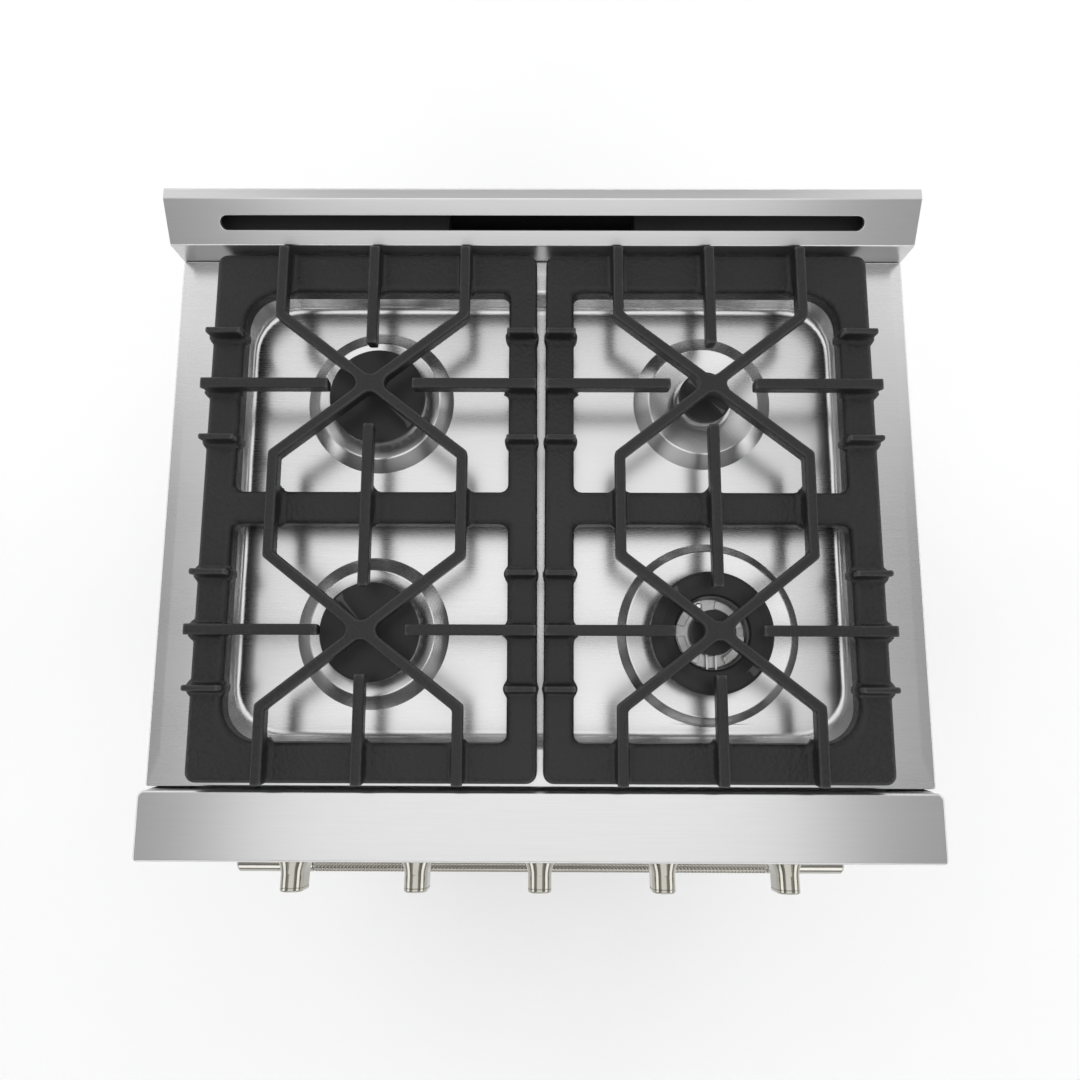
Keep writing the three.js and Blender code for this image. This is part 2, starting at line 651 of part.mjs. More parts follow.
// A wire rack: round rails all round, long wires front to back and two cross wires below them.
function rackBody(z) {
  const y = (distance) => frontY + distance;
  const rackX = oven.x - 4;
  const rail = 3;
  const [front, rear] = [28, 490];
  const midZ = z + rail;
  const wires = [
    box([-rackX, -rackX + 2 * rail], [y(front), y(rear)], [z, z + 2 * rail]),
    box([rackX - 2 * rail, rackX], [y(front), y(rear)], [z, z + 2 * rail]),
    box([-rackX, rackX], [y(front), y(front) + 2 * rail], [z, z + 2 * rail]),
    box([-rackX, rackX], [y(rear) - 2 * rail, y(rear)], [z, z + 2 * rail]),
  ];
  const wireCount = 11;
  for (let i = 1; i <= wireCount; i += 1) {
    const x = -rackX + (2 * rackX * i) / (wireCount + 1);
    wires.push(box([x - 2, x + 2], [y(front) + 1, y(rear) - 1], [midZ - 1, midZ + rail]));
  }
  return join(wires);
}

// ---------------------------------------------------------------- door
function makeDoor() {
  const y = (distance) => frontY + distance;
  const opening = (grow) => [
    [-doorWindow.x - grow, doorWindow.x + grow], [doorWindow.bottom - grow, doorWindow.top + grow],
  ];
  const [windowX, windowZ] = opening(0);
  const outerRear = door.outer + door.panDepth;
  const outerPan = cut(
    box([-door.halfWidth, door.halfWidth], [y(door.outer), y(outerRear)], [doorBottomZ, doorTopZ]),
    [
      box([-door.halfWidth + sheet, door.halfWidth - sheet], [y(door.outer) + sheet, y(outerRear) + 1],
        [doorBottomZ + sheet, doorTopZ - sheet]),
      box(windowX, [y(door.outer) - 1, y(door.outer) + sheet + 1], windowZ),
    ],
  );
  const hingeX = [338, 352];
  const boreFrom = 330;
  const boreTo = door.halfWidth - sheet - gap - 3;
  const notchReach = 18;
  const mirrored = (a, b, side) => [Math.min(side * a, side * b), Math.max(side * a, side * b)];
  const notches = [-1, 1].map((side) => box(
    mirrored(hingeX[0] - 1, hingeX[1] + 1, side), [hingeAxis.y - 9, y(door.inner) + 1],
    [doorBottomZ - 5, hingeAxis.z + notchReach],
  ));
  addPart('door_outer_panel', cut(outerPan, notches), stainless);

  const innerX = door.halfWidth - sheet - gap;
  const innerFront = door.outer + 12;
  const [innerBottom, innerTop] = [doorBottomZ + sheet + gap, doorTopZ - sheet - gap];
  const innerPan = cut(
    box([-innerX, innerX], [y(innerFront), y(door.inner)], [innerBottom, innerTop]),
    [
      box([-innerX + sheet, innerX - sheet], [y(innerFront) - 1, y(door.inner) - sheet],
        [innerBottom + sheet, innerTop - sheet]),
      box(windowX, [y(door.inner) - sheet - 1, y(door.inner) + 1], windowZ),
    ],
  );
  const hingeBlocks = [-1, 1].map((side) => box(
    mirrored(boreFrom - 4, innerX, side), [y(innerFront), y(door.inner)], [innerBottom, hingeAxis.z + 22],
  ));
  const bores = [-1, 1].map((side) => rod(
    [side * boreFrom, hingeAxis.y, hingeAxis.z], [side * boreTo, hingeAxis.y, hingeAxis.z], 4.6, 12,
  ));
  addPart('door_inner_panel', cut(join([innerPan, ...hingeBlocks]), [...notches, ...bores]), enamel);

  const [paneX, paneZ] = opening(14);
  const outerPaneY = y(door.outer) + sheet + gap;
  addPart('door_glass_outer', box(paneX, [outerPaneY, outerPaneY + 5], paneZ), glass);
  const innerPaneY = y(door.inner) - sheet - gap;
  addPart('door_glass_inner', box(paneX, [innerPaneY - 4, innerPaneY], paneZ), glass);

  for (const [name, side] of [['left', -1], ['right', 1]]) {
    const armHalf = 6;
    const arm = box(
      mirrored(hingeX[0], hingeX[1], side), [hingeAxis.y - armHalf, frontY - gap],
      [hingeAxis.z - armHalf, hingeAxis.z + armHalf],
    );
    const pinEnd = (x) => [side * x, hingeAxis.y, hingeAxis.z];
    const pin = rod(pinEnd(boreFrom + 2), pinEnd(boreTo - 2), 4, 12);
    addPart(`door_hinge_${name}`, arm.add(pin), galvanised);
  }

  const gasketBox = (grow, y0, y1) => box(
    [-oven.x - grow, oven.x + grow], [y(y0), y(y1)], [oven.bottom - grow, oven.top + grow],
  );
  const gasket = gasketBox(16, door.inner + gap, -gap).subtract(gasketBox(6, door.inner - 1, 1));
  addPart('door_gasket', gasket, braid);
}

function makeHandle() {
  const barY = frontY + handle.front + handle.radius;
  const half = handle.halfLength;
  const { radius } = handle;
  const profile = [
    [0, -half], [radius - 2, -half], [radius, -half + 2], [radius, half - 2], [radius - 2, half], [0, half],
  ];
  const bar = addPart('door_handle_bar', turned(profile, 20), polished);
  bar.rotation.y = Math.PI / 2;
  bar.position.set(0, barY, handle.z);
  const doorFace = frontY + door.outer - gap;
  for (const [name, side] of [['left', -1], ['right', 1]]) {
    const x = side * handle.postX;
    const post = rod([x, doorFace, handle.z], [x, barY, handle.z], handle.postRadius, 14).subtract(
      rod([x - 20, barY, handle.z], [x + 20, barY, handle.z], radius + gap, 20),
    );
    addPart(`handle_post_${name}`, post, polished);
  }
}

makeCasing();
makeLegs();
makeCooktop();
makeBurners();
makeGrate('grate_left', -1);
makeGrate('grate_right', 1);
makeBackGuard();
makeFlue();
makeLedge();
makeControlPanel();
makeControls();
makeManifold();
makeOven();
makeDoor();
makeHandle();

export default range;
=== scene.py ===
import math

import bmesh
import bpy
import numpy as np
from mathutils import Matrix, Vector


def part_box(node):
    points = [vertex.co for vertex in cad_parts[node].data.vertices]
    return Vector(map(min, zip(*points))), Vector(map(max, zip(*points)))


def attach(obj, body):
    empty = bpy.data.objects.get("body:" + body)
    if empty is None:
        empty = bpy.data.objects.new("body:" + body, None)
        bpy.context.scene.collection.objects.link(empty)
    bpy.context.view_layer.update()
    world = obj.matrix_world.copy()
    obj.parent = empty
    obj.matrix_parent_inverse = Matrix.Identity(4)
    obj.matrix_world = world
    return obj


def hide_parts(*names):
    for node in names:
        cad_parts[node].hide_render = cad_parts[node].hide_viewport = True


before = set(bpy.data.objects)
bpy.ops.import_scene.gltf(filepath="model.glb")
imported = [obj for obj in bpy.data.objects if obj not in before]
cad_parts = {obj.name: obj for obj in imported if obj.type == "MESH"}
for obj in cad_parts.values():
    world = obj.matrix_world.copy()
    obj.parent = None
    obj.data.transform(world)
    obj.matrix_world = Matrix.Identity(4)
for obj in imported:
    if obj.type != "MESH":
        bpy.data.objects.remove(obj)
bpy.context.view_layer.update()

# A freestanding gas range seen from above. Shapes are written in millimetres and scaled once, in place().
MM = 0.001


def box_mm(node):
    """Lowest and highest corner of a CAD node, in millimetres."""
    low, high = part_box(node)
    return low / MM, high / MM


def centre_mm(node):
    """Centre and half size of a CAD node, in millimetres."""
    low, high = box_mm(node)
    return [(a + b) / 2 for a, b in zip(low, high)], [(b - a) / 2 for a, b in zip(low, high)]


tray_low, tray_high = box_mm("cooktop_tray")
HALF = tray_high.x
FRONT = tray_low.y
REAR = tray_high.y
RIM = tray_high.z
BACK = box_mm("rear_panel")[1].y
SIDES = (("left", -1), ("right", 1))
SKIRT = 25
FLOOR_DROP = 22


# ---------------------------------------------------------------- outlines
def soften(points, steps=4, closed=False):
    """Rounds a path at each point that is given as a pair (point, corner radius)."""
    split = [p if isinstance(p[0], tuple) else (p, 0) for p in points]
    corners = [np.array(p, float) for p, _ in split]
    radii = [r for _, r in split]
    count = len(corners)
    path = []
    for i, corner in enumerate(corners):
        if radii[i] <= 0 or not (closed or 0 < i < count - 1):
            path.append(corner)
            continue
        before = corners[i - 1] - corner
        after = corners[(i + 1) % count] - corner
        lengths = np.linalg.norm(before), np.linalg.norm(after)
        before, after = before / lengths[0], after / lengths[1]
        half = math.acos(max(-1.0, min(1.0, float(before @ after)))) / 2
        reach = min(radii[i] / math.tan(half), 0.48 * min(lengths))
        start, end = corner + before * reach, corner + after * reach
        for k in range(steps + 1):
            t = k / steps
            path.append((1 - t) ** 2 * start + 2 * t * (1 - t) * corner + t * t * end)
    return [tuple(point) for point in path]


def rounded(xs, ys, radius, steps=6, spans=1):
    """Rounded rectangle in (u, v), counter-clockwise from the low corner; four radii or one."""
    radii = [radius] * 4 if isinstance(radius, (int, float)) else radius
    (x0, x1), (y0, y1) = xs, ys
    corners = [(x0, y0, 1, 1), (x1, y0, -1, 1), (x1, y1, -1, -1), (x0, y1, 1, -1)]
    arcs = []
    for i, (x, y, sx, sy) in enumerate(corners):
        r = max(radii[i], 0.01)
        start = math.pi + i * math.pi / 2
        turns = [start + k / steps * math.pi / 2 for k in range(steps + 1)]
        arcs.append([(x + sx * r + r * math.cos(a), y + sy * r + r * math.sin(a)) for a in turns])
    loop = []
    for i, arc in enumerate(arcs):
        loop += arc
        (ax, ay), (bx, by) = arc[-1], arcs[(i + 1) % 4][0]
        loop += [(ax + (bx - ax) * k / spans, ay + (by - ay) * k / spans) for k in range(1, spans)]
    return loop


def grown(xs, ys, radius, grow, steps, spans=1):
    """A rounded rectangle that is wider by grow on every side."""
    return rounded((xs[0] - grow, xs[1] + grow), (ys[0] - grow, ys[1] + grow), radius, steps, spans)


def oval(across, up, count, centre=(0, 0)):
    turns = [2 * math.pi * k / count for k in range(count)]
    return [(centre[0] + across * math.cos(a), centre[1] + up * math.sin(a)) for a in turns]


def circle(radius, count, centre=(0, 0)):
    return oval(radius, radius, count, centre)


def quarter_round(width, height, steps=6):
    """(inset, drop) pairs of a rolled edge, from its side up to its top."""
    turns = [k / (steps - 1) * math.pi / 2 for k in range(steps)]
    return [(width * (1 - math.cos(a)), height * (1 - math.sin(a))) for a in turns]


def at_z(loop, z):
    return [(x, y, z) for x, y in loop]


def at_y(loop, y):
    return [(x, y, z) for x, z in loop]


# ---------------------------------------------------------------- meshes
def ring_of(bm, points):
    return [bm.verts.new(p) for p in points]


def bridge(bm, a, b):
    """Faces between two closed rings; a ring of one vertex is a point."""
    count = max(len(a), len(b))
    for i in range(count):
        j = (i + 1) % count
        corners = (a[i % len(a)], a[j % len(a)], b[j % len(b)], b[i % len(b)])
        distinct = list(dict.fromkeys(corners))
        if len(distinct) > 2:
            bm.faces.new(distinct)


def stack(bm, rings):
    """Joins a row of rings and returns the first and the last."""
    made = [ring_of(bm, ring) for ring in rings]
    for a, b in zip(made, made[1:]):
        bridge(bm, a, b)
    return made[0], made[-1]


def capped(bm, rings):
    """A closed solid through a row of rings."""
    first, last = stack(bm, rings)
    bm.faces.new(first)
    bm.faces.new(last)


def fill(bm, *rings):
    """Closes a flat face between an outer ring and the holes in it."""
    edges = []
    for ring in rings:
        for i, vert in enumerate(ring):
            other = ring[(i + 1) % len(ring)]
            edges.append(bm.edges.get((vert, other)) or bm.edges.new((vert, other)))
    bmesh.ops.triangle_fill(bm, use_beauty=True, use_dissolve=False, edges=edges)


def prism(bm, loop, low, high, to_point=at_z):
    """A closed straight solid on a (u, v) loop."""
    capped(bm, [to_point(loop, low), to_point(loop, high)])


def block(bm, xs, ys, zs):
    prism(bm, [(xs[0], ys[0]), (xs[1], ys[0]), (xs[1], ys[1]), (xs[0], ys[1])], *zs)


def lathe(bm, profile, segments, move, shape=lambda angle, r, z: r):
    """Turns a (radius, height) profile about Z; radius 0 closes on the axis. shape() changes a radius."""
    rings = []
    for r, z in profile:
        ring = []
        for k in range(segments if r > 0 else 1):
            angle = 2 * math.pi * k / segments
            reach = shape(angle, r, z)
            ring.append(move @ Vector((reach * math.cos(angle), reach * math.sin(angle), z)))
        rings.append(ring)
    stack(bm, rings)


def sweep(bm, path, section, closed=False, up=(0, 0, 1), grow=lambda i: 1):
    """Carries a (side, up) section along a path; grow(i) scales the section there."""
    path = [Vector(p) for p in path]
    count = len(path)
    rings = []
    for i, point in enumerate(path):
        ahead = path[(i + 1) % count] if closed or i < count - 1 else point
        behind = path[i - 1] if closed or i else point
        forward = (ahead - behind).normalized()
        side = forward.cross(Vector(up)).normalized()
        top = side.cross(forward)
        rings.append(ring_of(bm, [point + (side * a + top * b) * grow(i) for a, b in section]))
    for a, b in zip(rings, rings[1:] + (rings[:1] if closed else [])):
        bridge(bm, a, b)
    if not closed:
        bm.faces.new(rings[0])
        bm.faces.new(rings[-1])


def to_mesh(bm, name, facing=None):
    """Turns a mesh's faces outward, or to a given side, and gives it back in metres."""
    bmesh.ops.recalc_face_normals(bm, faces=bm.faces)
    if facing:
        total = sum((f.normal * f.calc_area() for f in bm.faces), Vector())
        if total.dot(Vector(facing)) < 0:
            bmesh.ops.reverse_faces(bm, faces=bm.faces)
    bmesh.ops.scale(bm, vec=(MM, MM, MM), verts=bm.verts)
    mesh = bpy.data.meshes.new(name)
    bm.to_mesh(mesh)
    bm.free()
    return mesh


def show(name, data):
    """Adds a mesh, light or camera to the scene."""
    shown = bpy.data.objects.new(name, data)
    bpy.context.scene.collection.objects.link(shown)
    return shown


def place(name, bm, material, body, slot, replaces=(), facing=None, weld=0, **looks):
    """Finishes a mesh as one named piece of the range that rides on a body."""
    if weld:
        bmesh.ops.remove_doubles(bm, verts=bm.verts, dist=weld)
    put(name, to_mesh(bm, name, facing), material, body, slot, replaces, **looks)


def put(name, mesh, material, body, slot, replaces=(), sharp=32, bevel=0, thickness=0):
    """Shows a mesh in metres; sharp is the angle of its creases, thickness makes a sheet of it."""
    mesh.shade_smooth()
    mesh.set_sharp_from_angle(angle=math.radians(sharp))
    piece = show(name, mesh)
    mesh.materials.clear()
    mesh.materials.append(material)
    if thickness:
        modify(piece, "sheet", "SOLIDIFY", thickness=thickness * MM, offset=-1)
    if bevel:
        soft_edges(piece, bevel)
    flat_faces(piece)
    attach(piece, body)
    if replaces:
        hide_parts(*replaces)


def turned(name, profile, segments, where, *looks, shape=lambda angle, r, z: r, **more):
    """One lathe-turned piece."""
    bm = bmesh.new()
    lathe(bm, profile, segments, where, shape)
    place(name, bm, *looks, **more)


def modify(piece, name, kind, **settings):
    modifier = piece.modifiers.new(name, kind)
    for key, value in settings.items():
        setattr(modifier, key, value)


def soft_edges(piece, width):
    modify(piece, "edges", "BEVEL", width=width * MM, segments=3, limit_method="ANGLE",
           angle_limit=math.radians(40), harden_normals=True)


def flat_faces(piece):
    """Keeps large flat faces flat in shading, up to the bends beside them."""
    modify(piece, "flat_faces", "WEIGHTED_NORMAL", keep_sharp=True)


def keep(node, material, bevel):
    """A CAD node that stays in view: merges its flat facets, softens its edges and gives it a finish."""
    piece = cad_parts[node]
    piece.data.materials.clear()
    piece.data.materials.append(material)
    piece.data.shade_smooth()
    modify(piece, "weld", "WELD", merge_threshold=0.01 * MM)
    modify(piece, "flat", "DECIMATE", decimate_type="DISSOLVE", angle_limit=math.radians(2))
    soft_edges(piece, bevel)
    flat_faces(piece)


def settle(bm, name, **modifiers):
    """Runs modifiers on a mesh in millimetres and gives back the resulting mesh, in metres."""
    holder = show(name, to_mesh(bm, name))
    for kind, settings in modifiers.items():
        modify(holder, kind, kind, **settings)
    graph = bpy.context.evaluated_depsgraph_get()
    result = bpy.data.meshes.new_from_object(holder.evaluated_get(graph))
    bpy.data.objects.remove(holder)
    return result


def carve(bm, tool, name):
    """Cuts one mesh in millimetres out of another and gives back the result in metres."""
    cutter = show(name + "_tool", to_mesh(tool, name + "_tool"))
    result = settle(bm, name, BOOLEAN={"object": cutter, "solver": "EXACT", "operation": "DIFFERENCE"})
    bpy.data.objects.remove(cutter)
    return result


# ---------------------------------------------------------------- materials
def grey(value, warm=0.0):
    """A grey; warm takes blue away and adds a little red."""
    return (value * (1 + warm * 0.3), value, value * (1 - warm), 1)


def greys(level, low, high, warm=0.0):
    """Two shades of one level."""
    return grey(level * low, warm), grey(level * high, warm)


class Finish:
    """One procedural material: a Principled shader and short ways to add the nodes that feed it."""

    def __init__(self, name, **values):
        self.material = bpy.data.materials.new(name)
        self.material.use_nodes = True
        self.tree = self.material.node_tree
        self.shader = self.tree.nodes["Principled BSDF"]
        for socket, value in values.items():
            self.shader.inputs[socket.replace("_", " ")].default_value = value

    def node(self, kind, links, **settings):
        """Adds a node; an input takes either another node's output or a plain value."""
        made = self.tree.nodes.new(kind)
        for key, value in settings.items():
            setattr(made, key, value)
        for socket, source in links.items():
            if hasattr(source, "is_output"):
                self.tree.links.new(source, made.inputs[socket])
            else:
                made.inputs[socket].default_value = source
        return made

    def feed(self, socket, source):
        self.tree.links.new(source, self.shader.inputs[socket])

    def place(self, stretch=(1, 1, 1)):
        """Object coordinates in metres, stretched."""
        here = self.node("ShaderNodeTexCoord", {}).outputs["Object"]
        return self.node("ShaderNodeMapping", {"Vector": here, "Scale": stretch}).outputs["Vector"]

    def noise(self, scale, stretch=(1, 1, 1), detail=3.0, rough=0.55):
        links = {"Vector": self.place(stretch), "Scale": scale, "Detail": detail, "Roughness": rough}
        return self.node("ShaderNodeTexNoise", links).outputs["Fac"]

    def cells(self, scale, feature="F1", output="Distance"):
        links = {"Vector": self.place(), "Scale": scale}
        return self.node("ShaderNodeTexVoronoi", links, feature=feature).outputs[output]

    def spread(self, source, low, high, start=0.3, end=0.7):
        """Maps a texture's start..end onto low..high."""
        links = {"Value": source, "From Min": start, "From Max": end, "To Min": low, "To Max": high}
        return self.node("ShaderNodeMapRange", links).outputs["Result"]

    def mix(self, factor, a, b):
        """From colour a to colour b; sockets 0, 6 and 7 are the factor and the two colours."""
        return self.node("ShaderNodeMix", {0: factor, 6: a, 7: b}, data_type="RGBA").outputs[2]

    def shades(self, source, two):
        """A texture spread over two shades."""
        return self.mix(self.spread(source, 0, 1), *two)

    def sum(self, a, b, operation="ADD"):
        return self.node("ShaderNodeMath", {0: a, 1: b}, operation=operation).outputs[0]

    def product(self, a, b):
        return self.sum(a, b, "MULTIPLY")

    def edges(self, start=0.52, end=0.6):
        """1 on sharp outer edges, 0 elsewhere; the finishes give these edges a lighter colour."""
        sharp = self.node("ShaderNodeNewGeometry", {}).outputs["Pointiness"]
        return self.spread(sharp, 0.0, 1.0, start, end)

    def coat(self, colour, rough, height, strength, depth):
        """The colour, the roughness, and a relief that is depth millimetres deep."""
        self.feed("Base Color", colour)
        self.feed("Roughness", rough)
        links = {"Height": height, "Strength": strength, "Distance": depth * MM}
        self.feed("Normal", self.node("ShaderNodeBump", links).outputs["Normal"])
        return self.material

    def grain(self, axis):
        """Reflections spread across a grain that runs along the axis."""
        normal = self.node("ShaderNodeNewGeometry", {}).outputs["Normal"]
        across = self.node("ShaderNodeVectorMath", {0: normal, 1: axis}, operation="CROSS_PRODUCT")
        self.feed("Tangent", across.outputs["Vector"])


def brushed(name, level, roughness, axis, anisotropy=0.6):
    """Brushed sheet steel: fine streaks along one axis over slow, faint unevenness."""
    stretch = tuple(0.02 if a else 1.0 for a in axis)
    long_stretch = tuple(0.12 if a else 1.0 for a in axis)
    steel = Finish(name, Metallic=1.0, Anisotropic=anisotropy)
    steel.grain(axis)
    fine = steel.noise(2600, stretch, 2.0)
    streak = steel.noise(900, stretch, 3.0)
    cloud = steel.noise(9, long_stretch, 2.0)
    tone = steel.shades(streak, greys(level, 0.98, 1.02))
    lighter_edges = steel.mix(steel.edges(), tone, grey(level * 1.12))
    slow = steel.spread(cloud, -0.02, 0.02)
    rough = steel.sum(steel.spread(fine, roughness - 0.015, roughness + 0.015), slow)
    return steel.coat(lighter_edges, rough, fine, 0.01, 0.012)


def cast_iron(name, level, roughness, grain_size, depth, edge_highlight_level):
    """Matt enamel over a sand-cast surface, with a painted highlight: its sharp edges take a lighter colour.
    """
    iron = Finish(name, Specular_IOR_Level=0.35)
    grit = iron.noise(grain_size, detail=4.0, rough=0.6)
    sand = iron.cells(grain_size * 0.6)
    slow = iron.noise(35, detail=2.0)
    tone = iron.shades(grit, greys(level, 0.6, 1.6))
    tone = iron.mix(iron.spread(slow, 0, 0.5), tone, grey(level * 1.2, 0.03))
    # painted highlight: a lighter colour on sharp edges stands in for the light their rounding catches
    lighter_edges = iron.mix(iron.product(iron.edges(0.51, 0.57), 0.4), tone, grey(edge_highlight_level))
    rough = iron.spread(grit, roughness - 0.08, roughness + 0.08)
    return iron.coat(lighter_edges, rough, iron.sum(grit, iron.sum(sand, iron.product(slow, 0.5))), 0.5, depth)


def polished(name, level, roughness, warm):
    metal = Finish(name, Metallic=1.0)
    haze = metal.noise(60, detail=3.0)
    fine = metal.noise(1800, (1, 1, 0.1), 2.0)
    tone = metal.shades(haze, greys(level, 0.95, 1.03, warm))
    lighter_edges = metal.mix(metal.edges(), tone, grey(level * 1.15, warm))
    return metal.coat(lighter_edges, metal.spread(fine, roughness - 0.03, roughness + 0.05), fine, 0.05, 0.02)


def rough_metal(name, level, roughness, size, depth, warm=0.0, metallic=1.0):
    """Cast or plain metal with a fine uneven skin."""
    metal = Finish(name, Metallic=metallic)
    grit = metal.noise(size, detail=4.0)
    slow = metal.noise(size * 0.05, detail=2.0)
    tone = metal.shades(slow, greys(level, 0.85, 1.1, warm))
    lighter_edges = metal.mix(metal.edges(), tone, grey(level * 1.35, warm))
    return metal.coat(lighter_edges, metal.spread(grit, roughness - 0.07, roughness + 0.07), grit, 0.4, depth)


def galvanised():
    """Zinc in flat crystals of different brightness."""
    zinc = Finish("galvanised", Metallic=0.9)
    spangle = zinc.cells(95, output="Color")
    tone = zinc.node("ShaderNodeSeparateColor", {"Color": spangle}).outputs["Red"]
    frost = zinc.noise(300, detail=3.0)
    lighter_edges = zinc.mix(zinc.edges(), zinc.mix(tone, grey(0.37, -0.02), grey(0.46, -0.02)), grey(0.6))
    rough = zinc.sum(zinc.spread(tone, 0.40, 0.48, 0, 1), zinc.spread(frost, -0.04, 0.04))
    return zinc.coat(lighter_edges, rough, zinc.sum(tone, frost), 0.15, 0.05)


def oven_enamel():
    """Dark blue-black enamel with pale flecks under a glossy skin."""
    enamel = Finish("oven_enamel", Coat_Weight=0.5, Coat_Roughness=0.12)
    fleck = enamel.spread(enamel.cells(480), 1.0, 0.0, 0.05, 0.16)
    some = enamel.spread(enamel.noise(260), 0.0, 1.0, 0.5, 0.58)
    base = enamel.mix(enamel.noise(20), (0.010, 0.011, 0.018, 1), (0.018, 0.020, 0.032, 1))
    speckled = enamel.mix(enamel.product(fleck, some), base, (0.35, 0.37, 0.42, 1))
    lighter_edges = enamel.mix(enamel.edges(), speckled, (0.06, 0.06, 0.08, 1))
    return enamel.coat(lighter_edges, enamel.spread(enamel.noise(120), 0.22, 0.34), enamel.noise(220), 0.2, 0.05)


def tinted_glass():
    glass = Finish("oven_glass", Transmission_Weight=0.85, IOR=1.5)
    haze = glass.noise(14)
    tint = glass.mix(haze, (0.20, 0.22, 0.23, 1), (0.28, 0.30, 0.31, 1))
    return glass.coat(tint, glass.spread(haze, 0.02, 0.05), glass.noise(5), 0.03, 0.2)


def braid():
    """Dark woven glass fibre."""
    rope = Finish("gasket_braid", Sheen_Weight=0.3)
    weave = rope.cells(700, feature="SMOOTH_F1")
    tone = rope.mix(rope.spread(weave, 0, 1, 0, 0.6), grey(0.16), grey(0.05))
    return rope.coat(tone, rope.spread(rope.noise(500), 0.8, 0.98), weave, 0.8, 0.4)


def ceramic():
    clay = Finish("igniter_ceramic", Coat_Weight=0.3)
    speck = clay.noise(900)
    tone = clay.shades(speck, ((0.72, 0.69, 0.62, 1), (0.84, 0.82, 0.77, 1)))
    lighter_edges = clay.mix(clay.edges(), tone, (0.9, 0.88, 0.83, 1))
    return clay.coat(lighter_edges, clay.spread(speck, 0.3, 0.45), speck, 0.1, 0.03)


def ink():
    """Baked-on dark marking."""
    paint = Finish("marking", Specular_IOR_Level=0.3)
    speck = paint.noise(1500)
    tone = paint.shades(speck, (grey(0.012), grey(0.03)))
    return paint.coat(tone, paint.spread(speck, 0.4, 0.6), speck, 0.1, 0.02)


ALONG_X, ALONG_Y, ALONG_Z = (1, 0, 0), (0, 1, 0), (0, 0, 1)
STEEL = brushed("stainless_panel", 0.60, 0.30, ALONG_X)
SIDE_STEEL = brushed("stainless_side", 0.58, 0.32, ALONG_Y)
TRAY_STEEL = brushed("stainless_cooktop", 0.62, 0.28, ALONG_X, 0.55)
LEG_STEEL = brushed("stainless_leg", 0.55, 0.3, ALONG_Z, 0.4)
GRATE = cast_iron("grate_enamel", 0.011, 0.43, 420, 0.7, 0.16)
CAP = cast_iron("cap_enamel", 0.010, 0.42, 1300, 0.1, 0.2)
ALUMINIUM = rough_metal("burner_aluminium", 0.52, 0.42, 1100, 0.06)
NICKEL = polished("knob_nickel", 0.40, 0.13, 0.11)
BRIGHT_NICKEL = polished("handle_nickel", 0.44, 0.13, 0.09)
KNURL = polished("knurl_nickel", 0.32, 0.2, 0.12)
CHROME = polished("rack_chrome", 0.60, 0.16, 0.0)
BRASS = rough_metal("stem_brass", 0.45, 0.3, 900, 0.03, 0.28)
VALVE = rough_metal("valve_aluminium", 0.45, 0.5, 700, 0.08)
DARK = rough_metal("dark_steel", 0.05, 0.5, 500, 0.08, metallic=0.4)
ZINC = galvanised()
ENAMEL = oven_enamel()
GLASS = tinted_glass()
BRAID = braid()
CERAMIC = ceramic()
INK = ink()


# ---------------------------------------------------------------- cooktop
FLOOR = RIM - FLOOR_DROP
RING_RISE = 8.5
SEAT = FLOOR + 4.3
STEPS_PER_PORT = 5
# Pressed ring round each burner: crest radius, foot radius, burner neck radius, flame ports.
BURNERS = {
    "front_left": (62, 76.2, 27, 36),
    "rear_left": (62, 76.2, 27, 36),
    "rear_right": (56, 71.5, 18, 24),
    "front_right": (82.5, 91.3, 27, 44),
}


def cap_of(burner):
    """Centre x, centre y, radius, lowest and highest z of a burner's main cap."""
    node = f"burner_cap_{burner}" + ("_ring" if burner == "front_right" else "")
    (x, y, _), (radius, _, _) = centre_mm(node)
    low, high = box_mm(node)
    return x, y, radius, low.z, high.z


def make_cooktop():
    """One pressed sheet: turned-down skirt, mitred front strip, deep recess and four raised rings."""
    strip, side_strip, drop, bend = 29, 12, 0.5, 1.8
    crease, corner = 0.7, 2.5
    recess_half, recess_front, recess_rear, recess_corner = 296, 55.5, 484, 40

    def outline(side, front, rear):
        return rounded((side - HALF, HALF - side), (FRONT + front, REAR - rear), corner, 8, 12)

    def on_rim(loop, below=0.0):
        points = []
        for x, y in loop:
            front_share = (strip - (y - FRONT)) / strip
            side_share = (side_strip - (HALF - abs(x))) / side_strip
            points.append((x, y, RIM - below - drop * max(front_share, side_share, 0)))
        return points

    rings = [at_z(outline(0, 0, 0), RIM - SKIRT)]
    for inset, below in quarter_round(bend, bend, 5):
        rings.append(on_rim(outline(inset, inset, inset), below))
    for extra in (-crease, 0, crease):
        rings.append(on_rim(outline(side_strip + extra, strip + extra, bend + 1 + extra)))
    wall = soften([(25.6, 0), ((18, 0), 9), ((9, -FLOOR_DROP), 16), (-4, -FLOOR_DROP)], steps=9)
    xs, ys = (-recess_half, recess_half), (FRONT + recess_front, FRONT + recess_rear)
    for out, height in wall:
        rings.append(at_z(grown(xs, ys, recess_corner + out, out, 8, 12), RIM + height))
    bm = bmesh.new()
    _, floor_ring = stack(bm, rings)

    feet = []
    for burner, (crest, foot, neck, _) in BURNERS.items():
        x, y, _, _, _ = cap_of(burner)
        rise = [(foot + 0.6, 0), ((foot, 0), 0.5), ((crest + 0.5, RING_RISE), 3)]
        profile = soften(rise + [((neck + 12, 3.8), 12), (neck + 3, 3.6)], steps=6)
        outer, _ = stack(bm, [at_z(circle(r, 128, (x, y)), FLOOR + h) for r, h in profile])
        feet.append(outer)
    fill(bm, floor_ring, *feet)
    place("cooktop_surface", bm, TRAY_STEEL, "chassis", "stainless_cooktop", ["cooktop_tray"],
          facing=(0, 0, 1), sharp=50, thickness=1.2)


